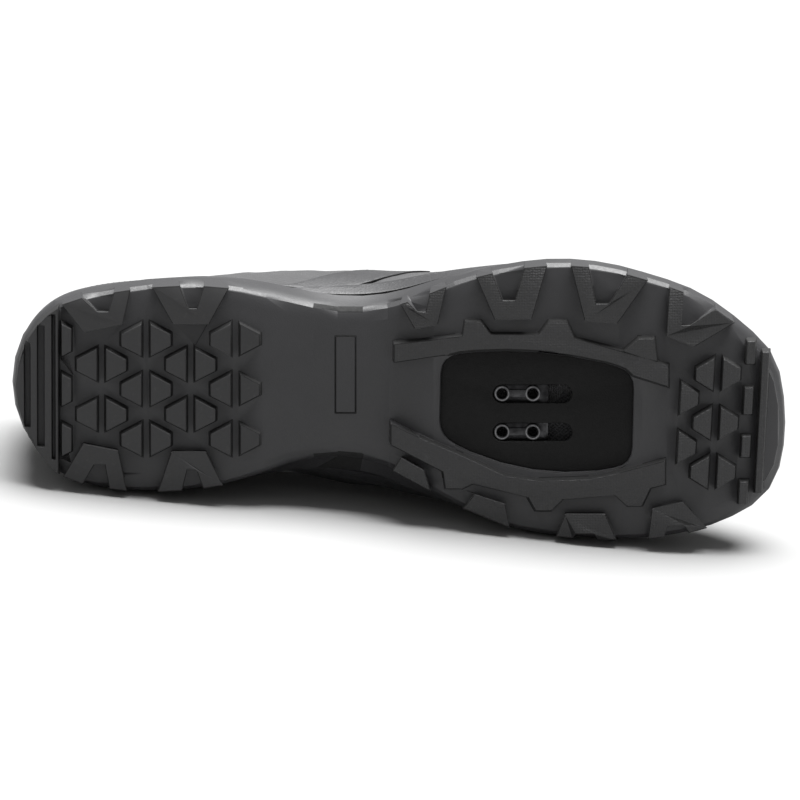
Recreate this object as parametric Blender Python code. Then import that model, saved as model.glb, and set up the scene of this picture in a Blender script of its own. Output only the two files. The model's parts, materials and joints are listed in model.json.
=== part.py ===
"""Right off-road cycling shoe, lying on its medial side with the sole facing -Y.

The shoe is drawn standing on its tread: X runs from heel to toe, Y from the lateral to the medial side
and Z up. At the end everything is laid on the floor by the parent empty. Metres.
"""

import math

import bmesh
import bpy
import numpy as np
from mathutils import Matrix, Vector

# Overall sizes of the shoe
LENGTH = 0.280
BALL_WIDTH = 0.101
HEEL_COLLAR_HEIGHT = 0.098
INSTEP_HEIGHT = 0.108
CLEARANCE = 0.0003

# Sole
LUG_HEIGHT = 0.0045
LUG_DRAFT = 0.0006
LUG_ROOT = 0.0015
SHARPEST_MITRE = 0.35
EDGE_LUG_PROUD = 0.0006
EDGE_LUG_INSET = 0.0010
EDGE_LUG_CHAMFER = 0.0012
EDGE_LUG_HEIGHT = 0.0113
ARCH_RISE = 0.0045
ARCH_BACK = (0.325, 0.375)
ARCH_FRONT = (0.47, 0.56)
HEEL_STACK = 0.020
FOREFOOT_STACK = 0.0128
FLOOR_STEP = (0.22, 0.60)
TOE_SPRING = 0.017
TOE_SPRING_START = 0.80
TOE_SPRING_POWER = 1.8
HEEL_BEVEL = 0.006
HEEL_BEVEL_LENGTH = 0.024
SIDE_FLARE = 0.0023
EDGE_ROUND = 0.0011
EDGE_SHOULDER_INSET = 0.0008
EDGE_SHOULDER_RISE = 0.0029
WIDEST_SHARE = 0.55
SIDE_WALL = 0.0035
RIM_LAP = 0.007
RIM_EDGE = 0.0016
SOLE_LINES = (0.07, 0.3, 0.5, 0.7, 0.93)
FLOOR_LINES = (0.3, 0.7)

# Upper. The number of stations along each side is even
UPPER_WALL = 0.002
STATIONS = 38
LEVELS = 9
RIM_LEVEL = 2
CURVE_HALF = 80
RIM_GAP = 0.0004
INSOLE_THICKNESS = 0.003
INSOLE_GAP = 0.0009
INSOLE_LINES = (0.35, 0.65)
TONGUE_THICKNESS = 0.004
TONGUE_GAP = 0.0009
COLLAR_PAD_THICKNESS = 0.0062
COLLAR_PAD_HEIGHT = 0.020
COLLAR_PAD_RISE = 0.0025
COLLAR_PAD_END = 0.385
OVERLAY_THICKNESS = 0.001
OVERLAY_LIFT = 0.0005
OVERLAY_STEP = 0.0022
STRAP_THICKNESS = 0.0018
STRAP_LIFT = 0.0005
STRAP_RISE = 0.003

# Cleat window, plate and nut plate
WINDOW_LEDGE = 0.003
WINDOW_BEVEL = 0.0012
WINDOW_BEVEL_START = 0.0034
WINDOW_BEVEL_END = 0.0051
POCKET_DEPTH = 0.0128
CUTTER_START = -0.005
PLATE_LEVEL = 0.0060
PLATE_THICKNESS = 0.003
SLOT_SPACING = 0.014
SLOT_LENGTH = 0.0287
SLOT_WIDTH = 0.0067
BOSS_PITCH = 0.0111
BOSS_RADIUS = 0.0029
BOSS_RECESS = 0.0007
BOSS_END_GAP = 0.00045
THREAD_RADIUS = 0.0020
NUT_SHEET = 0.0012
NUT_MARGIN = 0.0055
WEB_WIDTH = 0.0026


def table(names, rows):
    """The columns of a table by name."""
    return dict(zip(names.split(), np.array(rows, float).T))


def place(share_x, share_y):
    """A point in plan, from shares of the length and of the ball width."""
    return (share_x * LENGTH, share_y * BALL_WIDTH)


# Outline of the sole at its widest, seen from above: shares of the length, and of the ball width to
# either side
OUTLINE = table(
    "x lateral medial",
    [
        (0.000, 0.015, -0.015),
        (0.018, 0.205, 0.172),
        (0.064, 0.325, 0.312),
        (0.130, 0.370, 0.360),
        (0.210, 0.394, 0.367),
        (0.282, 0.386, 0.340),
        (0.343, 0.350, 0.288),
        (0.389, 0.317, 0.256),
        (0.432, 0.302, 0.250),
        (0.470, 0.308, 0.268),
        (0.514, 0.340, 0.327),
        (0.554, 0.384, 0.388),
        (0.589, 0.418, 0.438),
        (0.636, 0.448, 0.493),
        (0.700, 0.468, 0.530),
        (0.761, 0.456, 0.541),
        (0.821, 0.414, 0.540),
        (0.886, 0.343, 0.515),
        (0.930, 0.256, 0.476),
        (0.965, 0.165, 0.424),
        (0.988, 0.075, 0.345),
        (1.000, -0.150, 0.150),
    ],
)

# Edge of the collar and throat for each place along the sole: its own place and half width, its height as
# shares of the heel and instep heights, and the middle line of the shoe
TOPLINE = table(
    "foot x half heel instep middle",
    [
        (0.000, 0.030, 0.000, 1.000, 0.000, -0.007),
        (0.018, 0.035, 0.097, 0.992, 0.000, -0.007),
        (0.064, 0.060, 0.192, 0.961, 0.000, -0.002),
        (0.130, 0.120, 0.261, 0.888, 0.000, -0.003),
        (0.210, 0.200, 0.286, 0.821, 0.000, -0.005),
        (0.290, 0.283, 0.288, 0.780, 0.050, -0.008),
        (0.360, 0.350, 0.277, 0.400, 0.490, -0.012),
        (0.430, 0.405, 0.248, 0.000, 0.990, -0.016),
        (0.500, 0.455, 0.215, 0.000, 0.965, -0.010),
        (0.590, 0.515, 0.190, 0.000, 0.860, 0.005),
        (0.680, 0.575, 0.172, 0.000, 0.752, 0.020),
        (0.770, 0.630, 0.152, 0.000, 0.668, 0.032),
        (0.860, 0.672, 0.120, 0.000, 0.616, 0.040),
        (0.930, 0.697, 0.082, 0.000, 0.592, 0.044),
        (0.985, 0.708, 0.036, 0.000, 0.582, 0.046),
        (1.000, 0.710, 0.000, 0.000, 0.580, 0.046),
    ],
)

# How the upper swells between the sole and the topline: shares of the ball width outwards at the foot on
# either side and at the topline, and shares of the instep height up from the foot and down from the topline
SWELL = table(
    "foot lateral medial rise crest drop",
    [
        (0.000, 0.050, 0.055, 0.260, 0.040, 0.230),
        (0.064, 0.015, 0.025, 0.250, 0.040, 0.220),
        (0.210, -0.005, 0.005, 0.200, 0.040, 0.180),
        (0.343, 0.090, 0.175, 0.180, 0.100, 0.290),
        (0.432, 0.165, 0.330, 0.200, 0.180, 0.400),
        (0.514, 0.115, 0.230, 0.180, 0.200, 0.300),
        (0.589, 0.045, 0.090, 0.160, 0.195, 0.150),
        (0.700, 0.015, 0.020, 0.180, 0.210, 0.070),
        (0.860, 0.005, 0.015, 0.180, 0.320, 0.040),
        (1.000, 0.015, 0.015, 0.180, 0.480, 0.030),
    ],
)

# How far the rim of the sole laps up the upper, as shares of the rim's lap
LAP = table(
    "x lap",
    [(0.00, 1.25), (0.20, 1.15), (0.42, 0.85), (0.62, 1.00), (0.85, 1.15), (1.00, 1.50)],
)

# Edge lugs: places along the sole of the corners at the edge and at the inner end, how far from the X axis
# the inner end lies, and the same for the notch in the edge
EDGE_LUG_COLUMNS = (
    "edge_back back front edge_front reach_back reach_front"
    " notch_edge_back notch_back notch_front notch_edge_front notch_reach"
)
LATERAL_LUGS = [
    (0.065, 0.094, 0.144, 0.154, 0.218, 0.247, 0.091, 0.111, 0.125, 0.132, 0.293),
    (0.181, 0.208, 0.255, 0.281, 0.247, 0.247, 0.217, 0.229, 0.239, 0.248, 0.304),
    (0.501, 0.520, 0.550, 0.561, 0.229, 0.243, 0.511, 0.524, 0.534, 0.539, 0.292),
    (0.599, 0.623, 0.671, 0.691, 0.262, 0.264, 0.620, 0.634, 0.649, 0.661, 0.333),
    (0.721, 0.739, 0.781, 0.821, 0.257, 0.248, 0.745, 0.754, 0.770, 0.794, 0.321),
    (0.848, 0.844, 0.880, 0.933, 0.202, 0.160, 0.867, 0.864, 0.875, 0.908, 0.240),
]
MEDIAL_LUGS = [
    (0.066, 0.092, 0.138, 0.149, 0.182, 0.207, 0.092, 0.107, 0.120, 0.126, 0.259),
    (0.188, 0.206, 0.251, 0.273, 0.211, 0.211, 0.220, 0.227, 0.238, 0.247, 0.277),
    (0.491, 0.502, 0.533, 0.541, 0.232, 0.280, 0, 0, 0, 0, 0),
    (0.582, 0.597, 0.637, 0.643, 0.365, 0.400, 0, 0, 0, 0, 0),
    (0.702, 0.714, 0.766, 0.781, 0.436, 0.436, 0.724, 0.729, 0.751, 0.756, 0.508),
    (0.821, 0.826, 0.866, 0.898, 0.418, 0.396, 0.842, 0.847, 0.867, 0.874, 0.482),
]

# Half-hexagon lugs, in a field at the heel and one at the toe. Places are shares of the length and the
# ball width
HEX_LONG = 0.0117
HEX_SHORT = 0.0042
HEX_DEPTH = 0.0072
HEX_GAP = 0.0034
HEX_FADE = 0.0010
HEEL_PITCH_X = 0.0575
HEEL_PITCH_Y = 0.0901
HEEL_FIELD = (0.1161, -0.0099)
HEEL_HALF_X = 0.0650
HEEL_HALF_DEPTH = 0.0034
TOE_FIELD = (0.9082, 0.1188)
TOE_FIELD_TURN = math.radians(3)
TOE_PITCH_Y = 0.0883
TOE_HALF_X = 0.8614
TOE_HEX_DEPTH = 0.0063

# Bars across the heel and the toe: place along the sole and reach to either side as shares, and width
HEEL_BLOCK = 0.0600
HEEL_BLOCK_INSET = 0.0014
HEEL_BLOCK_PARTS = (0.057, 0.172, 0.330, 0.523, 0.747, 1.0)
HEEL_GROOVES = table(
    "x width lateral medial",
    [
        (0.0204, 0.0023, 0.178, 0.129),
        (0.0379, 0.0027, 0.240, 0.197),
        (0.0543, 0.0014, 0.279, 0.243),
    ],
)
HEEL_GROOVE_DEPTH = 0.0041
TOE_BAR_WIDTH = 0.0024
TOE_BAR_X = 0.9689
TOE_BAR_REACH = (-0.139, 0.371)
TOE_STUB_X = 0.9493
TOE_STUBS = [(-0.178, -0.096), (-0.010, 0.086), (0.164, 0.240), (0.329, 0.411)]
TOE_STUB_WIDTH = 0.0030

# Rails beside the cleat window: inner and outer edge as shares of the ball width
LATERAL_RAIL = table(
    "x inner outer",
    [
        (0.493, -0.107, -0.175),
        (0.559, -0.134, -0.199),
        (0.625, -0.148, -0.210),
        (0.702, -0.144, -0.204),
        (0.755, -0.112, -0.178),
        (0.800, -0.060, -0.140),
        (0.847, -0.018, -0.096),
    ],
)
MEDIAL_RAIL = table(
    "x inner outer",
    [
        (0.489, 0.111, 0.190),
        (0.526, 0.162, 0.248),
        (0.582, 0.228, 0.316),
        (0.637, 0.300, 0.362),
        (0.680, 0.318, 0.384),
        (0.745, 0.312, 0.381),
        (0.783, 0.289, 0.370),
        (0.843, 0.247, 0.333),
    ],
)
TAB_COLUMNS = "root_back tip_back tip_front root_front reach"
LATERAL_TABS = [
    (0.582, 0.585, 0.605, 0.618, -0.257),
    (0.680, 0.693, 0.716, 0.726, -0.257),
    (0.789, 0.808, 0.829, 0.833, -0.195),
]
MEDIAL_TABS = [
    (0.557, 0.560, 0.580, 0.595, 0.349),
    (0.666, 0.676, 0.696, 0.711, 0.428),
    (0.779, 0.794, 0.813, 0.824, 0.410),
]
RAIL_TOP = 0.0008

# Corners of the cleat window and how far its long sides bow outwards, as shares, and its corner radius
WINDOW_CORNERS = [(0.5546, -0.127), (0.8029, -0.071), (0.8000, 0.267), (0.5518, 0.163)]
WINDOW_BOWS = (0.040, 0.0, 0.069, 0.0)
WINDOW_CORNER_RADIUS = 0.0065
WINDOW_CORNER_CLEAR = 0.0013
CLEAT_CENTRE = place(0.6721, 0.0812)

# Low bare panel in the waist
PANEL_CENTRE = place(0.4307, -0.0545)
PANEL_SIZE = (0.0073, 0.028)
PANEL_RAISE = 0.0004

# Overlays in side view: place along the shoe and height above the rim, as shares of the length and the
# instep height
FOREFOOT_OVERLAY = table(
    "x top",
    [
        (0.375, 0.022),
        (0.440, 0.038),
        (0.520, 0.060),
        (0.640, 0.090),
        (0.760, 0.110),
        (0.835, 0.150),
        (0.862, 0.420),
    ],
)
TOE_WRAP = (0.93, 0.97, 1.03)
HEEL_COUNTER = table(
    "x top",
    [(-0.03, 0.52), (0.030, 0.50), (0.100, 0.34), (0.180, 0.18), (0.262, 0.045)],
)

# Straps: place along the throat, width and the level that each side reaches
STRAPS = {
    "strap_front": {"centre": 0.640, "width": 0.018, "lateral": 5, "medial": 6},
    "strap_middle": {"centre": 0.558, "width": 0.018, "lateral": 6, "medial": 6},
    "strap_top": {"centre": 0.473, "width": 0.022, "lateral": 7, "medial": 6},
}

# Free top of the tongue: how far each row stands back and up, its width as a share of the throat, the
# places of its points across and how much it sags to the sides
TONGUE_TOP = table(
    "back up width",
    [(0.005, 0.009, 0.86), (0.011, 0.018, 0.82), (0.016, 0.026, 0.66)],
)
TONGUE_TOP_PARTS = (-1.06, -1, -0.5, 0, 0.5, 1, 1.06)
TONGUE_TOP_SAG = 0.8

# Colour, roughness, metallic value and density in kg/m3
FINISHES = {
    "rubber": ((0.045, 0.045, 0.047), 0.65, 0.0, 1050),
    "nylon": ((0.014, 0.014, 0.014), 0.45, 0.0, 1150),
    "steel": ((0.10, 0.10, 0.105), 0.35, 1.0, 7850),
    "shell": ((0.10, 0.10, 0.11), 0.70, 0.0, 700),
    "overlay": ((0.06, 0.06, 0.065), 0.55, 0.0, 900),
    "foam": ((0.02, 0.02, 0.02), 0.90, 0.0, 250),
    "strap": ((0.03, 0.03, 0.032), 0.60, 0.0, 700),
}


def smooth(x, xs, ys):
    """A smooth curve through a table's points."""
    x, xs, ys = (np.asarray(v, float) for v in (x, xs, ys))
    slopes = np.gradient(ys, xs)
    i = np.clip(np.searchsorted(xs, x) - 1, 0, len(xs) - 2)
    step = xs[i + 1] - xs[i]
    t = np.clip((x - xs[i]) / step, 0, 1)
    rest = 1 - t
    return (
        ys[i] * rest * rest * (1 + 2 * t)
        + slopes[i] * step * t * rest * rest
        + ys[i + 1] * t * t * (3 - 2 * t)
        - slopes[i + 1] * step * t * t * rest
    )


def blend(x, start, end):
    """Rises smoothly from 0 at the start to 1 at the end."""
    t = np.clip((np.asarray(x, float) - start) / (end - start), 0, 1)
    return t * t * (3 - 2 * t)


def turn_of(share):
    """The angle round the outline for a share of the length, so that round ends come out round."""
    return np.arccos(1 - 2 * np.clip(share, 0, 1))


def edge_y(share, side):
    """Y of the sole's edge at its widest. side is -1 for lateral and 1 for medial."""
    column = OUTLINE["medial" if side > 0 else "lateral"]
    return side * BALL_WIDTH * smooth(turn_of(share), turn_of(OUTLINE["x"]), column)


def tread_z(x):
    """Height of the lug tips: flat under heel and ball, rising behind the heel and towards the toe."""
    bevel = HEEL_BEVEL * np.clip(1 - np.asarray(x) / HEEL_BEVEL_LENGTH, 0, None) ** 2
    spring = (np.asarray(x) / LENGTH - TOE_SPRING_START) / (1 - TOE_SPRING_START)
    return bevel + TOE_SPRING * np.clip(spring, 0, None) ** TOE_SPRING_POWER


def base_z(x):
    """Height of the sole between the lugs."""
    share = np.asarray(x) / LENGTH
    arch = blend(share, *ARCH_BACK) * (1 - blend(share, *ARCH_FRONT))
    return tread_z(x) + LUG_HEIGHT + ARCH_RISE * arch


def floor_z(x):
    """Height of the floor inside, on which the insole lies."""
    share = np.asarray(x) / LENGTH
    step = (HEEL_STACK - FOREFOOT_STACK) * (1 - blend(share, *FLOOR_STEP))
    spring = np.clip((share - TOE_SPRING_START) / (1 - TOE_SPRING_START), 0, None)
    return FOREFOOT_STACK + step + TOE_SPRING * spring**TOE_SPRING_POWER


def rim_z(x):
    """Height of the rim that laps over the upper."""
    return floor_z(x) + RIM_LAP * smooth(np.asarray(x) / LENGTH, LAP["x"], LAP["lap"])


def station_shares():
    """Places along the sole, evenly spaced round its outline."""
    turn = np.linspace(0, math.pi, 2001)
    share = (1 - np.cos(turn)) / 2
    half = (edge_y(share, 1) - edge_y(share, -1)) / 2
    walked = np.concatenate([[0], np.cumsum(np.hypot(np.diff(share) * LENGTH, np.diff(half)))])
    return np.interp(np.linspace(0, walked[-1], STATIONS + 1), walked, share)


def outward(points):
    """Plan normals of a closed ring that runs heel, lateral, toe, medial."""
    along = np.roll(points[:, :2], -1, axis=0) - np.roll(points[:, :2], 1, axis=0)
    along /= np.linalg.norm(along, axis=1, keepdims=True)
    return np.column_stack([along[:, 1], -along[:, 0], np.zeros(len(along))])


SHARES = station_shares()
RING_SHARES = np.concatenate([SHARES, SHARES[-2:0:-1]])
RING_SIDES = np.concatenate([-np.ones(STATIONS + 1), np.ones(STATIONS - 1)])


def ring_value(rows, name):
    """A column of a table that is keyed by the place along the foot, round the whole ring."""
    return smooth(turn_of(RING_SHARES), turn_of(rows["foot"]), rows[name])


def edge_ring():
    """The sole's widest line, as points at height 0."""
    y = [float(edge_y(share, side)) for share, side in zip(RING_SHARES, RING_SIDES)]
    return np.column_stack([RING_SHARES * LENGTH, y, np.zeros(len(y))])


def upper_grid():
    """Points of the upper's outside, by level from the foot to the topline and then round the shoe."""
    edge = edge_ring()
    normal = outward(edge)
    foot = edge - normal * SIDE_WALL
    foot[:, 2] = floor_z(foot[:, 0]) + CLEARANCE
    middle = ring_value(TOPLINE, "middle") * BALL_WIDTH
    half = ring_value(TOPLINE, "half") * BALL_WIDTH
    top = np.column_stack(
        [
            ring_value(TOPLINE, "x") * LENGTH,
            middle + RING_SIDES * half,
            ring_value(TOPLINE, "heel") * HEEL_COLLAR_HEIGHT
            + ring_value(TOPLINE, "instep") * INSTEP_HEIGHT,
        ]
    )
    apart = (foot - top) * (1, 1, 0)
    apart /= np.linalg.norm(apart, axis=1, keepdims=True)
    fan = apart + outward(top)
    fan /= np.linalg.norm(fan, axis=1, keepdims=True)
    swell = np.where(RING_SIDES > 0, ring_value(SWELL, "medial"), ring_value(SWELL, "lateral"))
    up = np.array([0, 0, INSTEP_HEIGHT])
    near_foot = foot + normal * (swell * BALL_WIDTH)[:, None] + up * ring_value(SWELL, "rise")[:, None]
    crest = ring_value(SWELL, "crest") * BALL_WIDTH
    near_top = top + fan * crest[:, None] - up * ring_value(SWELL, "drop")[:, None]

    t = np.linspace(0, 1, 2 * CURVE_HALF + 1)[:, None, None]
    curve = (
        foot * (1 - t) ** 3
        + 3 * near_foot * t * (1 - t) ** 2
        + 3 * near_top * t * t * (1 - t)
        + top * t**3
    )
    grid = np.empty((LEVELS + 1, len(foot), 3))
    for k in range(len(foot)):
        line = curve[:, k]
        walked = np.concatenate([[0], np.cumsum(np.linalg.norm(np.diff(line, axis=0), axis=1))])
        at_rim = np.interp(rim_z(foot[k, 0]), line[:CURVE_HALF, 2], walked[:CURVE_HALF])
        lower = np.linspace(0, at_rim, RIM_LEVEL + 1)
        higher = np.linspace(at_rim, walked[-1], LEVELS - RIM_LEVEL + 1)[1:]
        for level, distance in enumerate(np.concatenate([lower, higher])):
            grid[level, k] = [np.interp(distance, walked, line[:, axis]) for axis in range(3)]
    return grid


def grid_normals(grid):
    """Normals that point out of the upper."""
    around = np.roll(grid, -1, axis=1) - np.roll(grid, 1, axis=1)
    upwards = np.gradient(grid, axis=0)
    normals = np.cross(around, upwards)
    return normals / np.linalg.norm(normals, axis=2, keepdims=True)


UPPER = upper_grid()
UPPER_NORMALS = grid_normals(UPPER)


def clear_scene():
    for item in list(bpy.data.objects):
        bpy.data.objects.remove(item)


def material(name):
    found = bpy.data.materials.get(name)
    if found:
        return found
    colour, roughness, metallic, _ = FINISHES[name]
    found = bpy.data.materials.new(name)
    found.use_nodes = True
    shader = found.node_tree.nodes["Principled BSDF"]
    shader.inputs["Base Color"].default_value = (*colour, 1)
    shader.inputs["Roughness"].default_value = roughness
    shader.inputs["Metallic"].default_value = metallic
    return found


def finish_object(name, bm, finish, parent, smooth_angle=35):
    """Makes an object from a closed bmesh."""
    bmesh.ops.recalc_face_normals(bm, faces=bm.faces)
    mesh = bpy.data.meshes.new(name)
    bm.to_mesh(mesh)
    bm.free()
    mesh.shade_smooth()
    mesh.set_sharp_from_angle(angle=math.radians(smooth_angle))
    item = bpy.data.objects.new(name, mesh)
    bpy.context.scene.collection.objects.link(item)
    item.parent = parent
    if finish:
        mesh.materials.append(material(finish))
    else:
        item.hide_render = True
        item.display_type = "WIRE"
    return item


def boolean(item, operation, other):
    modifier = item.modifiers.new(f"{operation.lower()} {other.name}", "BOOLEAN")
    modifier.operation = operation
    modifier.object = other


def add_ring(bm, points):
    return [bm.verts.new(point) for point in points]


def skin(bm, first, second):
    """Quads between two closed rings with as many points."""
    for k in range(len(first)):
        after = (k + 1) % len(first)
        bm.faces.new((first[k], first[after], second[after], second[k]))


def strip(bm, first, second):
    """Faces between two open lines, either of which may be a single point."""
    if len(first) == 1 or len(second) == 1:
        tip, line = (first[0], second) if len(first) == 1 else (second[0], first)
        for a, b in zip(line, line[1:]):
            bm.faces.new((tip, a, b))
        return
    for k in range(len(first) - 1):
        bm.faces.new((first[k], first[k + 1], second[k + 1], second[k]))


def close_across(bm, ring, height, shares):
    """Closes a ring of the outline with lines across the shoe, at a height worked out from X."""
    lines = [[ring[0]]]
    half = len(ring) // 2
    for i in range(1, half):
        lateral, medial = ring[i], ring[-i]
        between = []
        for share in shares:
            point = lateral.co.lerp(medial.co, share)
            between.append(bm.verts.new((point.x, point.y, float(height(point.x)))))
        lines.append([lateral, *between, medial])
    lines.append([ring[half]])
    for first, second in zip(lines, lines[1:]):
        strip(bm, first, second)


def sheet_solid(bm, outer_rows, inner_rows):
    """A closed sheet between two grids of points."""
    outer = [add_ring(bm, row) for row in outer_rows]
    inner = [add_ring(bm, row) for row in inner_rows]
    for rows in (outer, inner):
        for first, second in zip(rows, rows[1:]):
            strip(bm, first, second)
    for pair in ((outer[0], inner[0]), (outer[-1], inner[-1])):
        strip(bm, *pair)
    for end in (0, -1):
        strip(bm, [row[end] for row in outer], [row[end] for row in inner])


def grow(plan, distance):
    """A plan outline moved outwards by a distance, with mitred corners. The outline runs anticlockwise."""
    plan = np.asarray(plan, float)
    before, after = np.roll(plan, 1, axis=0), np.roll(plan, -1, axis=0)

    def side_normal(start, end):
        along = (end - start) / np.linalg.norm(end - start, axis=1, keepdims=True)
        return np.column_stack([along[:, 1], -along[:, 0]])

    first, second = side_normal(before, plan), side_normal(plan, after)
    mitre = first + second
    mitre /= np.clip((mitre * mitre).sum(axis=1, keepdims=True) / 2, SHARPEST_MITRE, None)
    return plan + mitre * distance


def anticlockwise(plan):
    plan = np.asarray(plan, float)
    x, y = plan[:, 0], plan[:, 1]
    area = np.sum(x * np.roll(y, -1) - y * np.roll(x, -1))
    return plan if area > 0 else plan[::-1]


def prism(bm, tips, roots):
    """A closed solid between two outlines with as many corners."""
    tip, root = add_ring(bm, tips), add_ring(bm, roots)
    skin(bm, tip, root)
    bm.faces.new(tip)
    bm.faces.new(root[::-1])


def slab(bm, plan, low, high):
    prism(bm, [(x, y, low) for x, y in plan], [(x, y, high) for x, y in plan])


def capsule(centre, length, width, corners=8):
    """A slot's outline along X."""
    straight = (length - width) / 2
    points = []
    for end in (1, -1):
        for k in range(corners + 1):
            angle = math.pi * (k / corners - 0.5) + (0 if end > 0 else math.pi)
            points.append(
                (
                    centre[0] + end * straight + width / 2 * math.cos(angle),
                    centre[1] + width / 2 * math.sin(angle),
                )
            )
    return points


def circle(centre, radius, corners=16):
    return [
        (
            centre[0] + radius * math.cos(2 * math.pi * k / corners),
            centre[1] + radius * math.sin(2 * math.pi * k / corners),
        )
        for k in range(corners)
    ]


def rectangle(x0, x1, y0, y1):
    return [(x0, y0), (x1, y0), (x1, y1), (x0, y1)]


def window_plan():
    """The cleat window: four corners with bowed long sides and rounded corners."""
    corners = [Vector(place(*corner)) for corner in WINDOW_CORNERS]
    sides = []
    for k, bow in enumerate(WINDOW_BOWS):
        start, end = corners[k], corners[(k + 1) % 4]
        along = (end - start).normalized()
        out = Vector((along.y, -along.x)) * bow * BALL_WIDTH
        steps = 6 if bow else 1
        line = []
        for s in range(steps + 1):
            t = s / steps
            line.append(start.lerp(end, t) + out * 4 * t * (1 - t))
        sides.append(line)
    clear = WINDOW_CORNER_RADIUS + WINDOW_CORNER_CLEAR
    points = []
    for k, line in enumerate(sides):
        after = sides[(k + 1) % 4]
        corner = after[0]
        back = (line[-2] - corner).normalized() * WINDOW_CORNER_RADIUS
        ahead = (after[1] - corner).normalized() * WINDOW_CORNER_RADIUS
        points += [p for p in line[1:-1] if (p - corner).length > clear and (p - line[0]).length > clear]
        for s in range(5):
            t = s / 4
            points.append(corner + back * (1 - t) ** 2 + ahead * t * t)
    return anticlockwise([tuple(p) for p in points])


def lug(bm, plan, tip_lift=0.0):
    """A lug that stands down from the sole, with draft on its walls."""
    plan = anticlockwise(plan)
    roots = grow(plan, LUG_DRAFT)
    tips = [(x, y, float(tread_z(x)) + tip_lift) for x, y in plan]
    prism(bm, tips, [(x, y, float(base_z(x)) + LUG_ROOT) for x, y in roots])


def edge_lug(bm, row, side):
    """A lug at the sole's edge, which turns up the side wall, with a notch open to the outside."""
    size = dict(zip(EDGE_LUG_COLUMNS.split(), row))

    def at_edge(name, inset):
        share = size[name]
        return (share * LENGTH, float(edge_y(share, side)) - side * inset)

    def inside(name, reach):
        return place(size[name], side * size[reach])

    corners = [
        ("edge_back", None),
        ("back", "reach_back"),
        ("front", "reach_front"),
        ("edge_front", None),
    ]
    if size["notch_reach"]:
        corners += [
            ("notch_edge_front", None),
            ("notch_front", "notch_reach"),
            ("notch_back", "notch_reach"),
            ("notch_edge_back", None),
        ]
    tips, roots = [], []
    for name, reach in corners:
        x, y = inside(name, reach) if reach else at_edge(name, EDGE_LUG_INSET)
        lift = 0 if reach else EDGE_LUG_CHAMFER
        tips.append((x, y, float(tread_z(x)) + lift))
        if reach:
            roots.append((x, y, float(base_z(x)) + LUG_ROOT))
        else:
            x, y = at_edge(name, -EDGE_LUG_PROUD)
            roots.append((x, y, float(base_z(x)) + EDGE_LUG_HEIGHT - LUG_HEIGHT))
    if side > 0:
        tips, roots = tips[::-1], roots[::-1]
    grown = grow([p[:2] for p in roots], LUG_DRAFT)
    roots = [(gx, gy, z) for (gx, gy), (_, _, z) in zip(grown, roots)]
    prism(bm, tips, roots)


def half_hexagon(x, y, direction, depth=HEX_DEPTH, short=HEX_SHORT):
    """Half a hexagon with its long edge at X and its short edge a depth away."""
    return [
        (x, y - HEX_LONG / 2),
        (x + direction * depth, y - short / 2),
        (x + direction * depth, y + short / 2),
        (x, y + HEX_LONG / 2),
    ]


def heel_lugs(bm):
    for column in range(4):
        rows = (-2, 0, 2) if column % 2 else (-1, 1)
        for row in rows:
            x, y = place(HEEL_FIELD[0] + column * HEEL_PITCH_X, HEEL_FIELD[1] + row * HEEL_PITCH_Y)
            lug(bm, half_hexagon(x - HEX_GAP / 2, y, -1))
            lug(bm, half_hexagon(x + HEX_GAP / 2, y, 1), tip_lift=HEX_FADE if column == 3 else 0)
    narrow = HEX_LONG - (HEX_LONG - HEX_SHORT) * HEEL_HALF_DEPTH / HEX_DEPTH
    for row in (-2, 0, 2):
        x, y = place(HEEL_HALF_X, HEEL_FIELD[1] + row * HEEL_PITCH_Y)
        lug(bm, half_hexagon(x, y, 1, HEEL_HALF_DEPTH, narrow))


def turned(plan, centre, angle):
    cos, sin = math.cos(angle), math.sin(angle)
    return [
        (
            centre[0] + (x - centre[0]) * cos - (y - centre[1]) * sin,
            centre[1] + (x - centre[0]) * sin + (y - centre[1]) * cos,
        )
        for x, y in plan
    ]


def toe_lugs(bm):
    plans = []
    for row in (-2, 0, 2):
        x, y = place(TOE_FIELD[0], TOE_FIELD[1] + row * TOE_PITCH_Y)
        for side in (-1, 1):
            plans.append(half_hexagon(x + side * HEX_GAP / 2, y, side, TOE_HEX_DEPTH))
    for row in (-1, 1):
        x, y = place(TOE_HALF_X, TOE_FIELD[1] + row * TOE_PITCH_Y)
        plans.append(half_hexagon(x, y, 1, TOE_HEX_DEPTH))
    bars = [(TOE_STUB_X, TOE_STUB_WIDTH, reach) for reach in TOE_STUBS]
    for share, width, (low, high) in [*bars, (TOE_BAR_X, TOE_BAR_WIDTH, TOE_BAR_REACH)]:
        (x, y0), (_, y1) = place(share, low), place(share, high)
        plans.append(rectangle(x - width / 2, x + width / 2, y0, y1))
    for plan in plans:
        lug(bm, turned(plan, place(*TOE_FIELD), TOE_FIELD_TURN))


def heel_block(bm):
    """The solid block behind the heel's lugs, following the round of the heel."""
    sides = []
    for side in (-1, 1):
        line = []
        for part in HEEL_BLOCK_PARTS:
            share = part * HEEL_BLOCK
            y = float(edge_y(share, side)) - side * HEEL_BLOCK_INSET
            line.append((share * LENGTH + HEEL_BLOCK_INSET * (1 - part), y))
        sides.append(line)
    lug(bm, [(HEEL_BLOCK_INSET, float(edge_y(0, -1))), *sides[0], *sides[1][::-1]])


def heel_grooves(bm):
    rows = zip(*(HEEL_GROOVES[name] for name in ("x", "width", "lateral", "medial")))
    for share, width, lateral, medial in rows:
        (x, low), (_, high) = place(share, -lateral), place(share, medial)
        plan = rectangle(x - width / 2, x + width / 2, low, high)
        slab(bm, plan, CUTTER_START, float(tread_z(x)) + HEEL_GROOVE_DEPTH)


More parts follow.
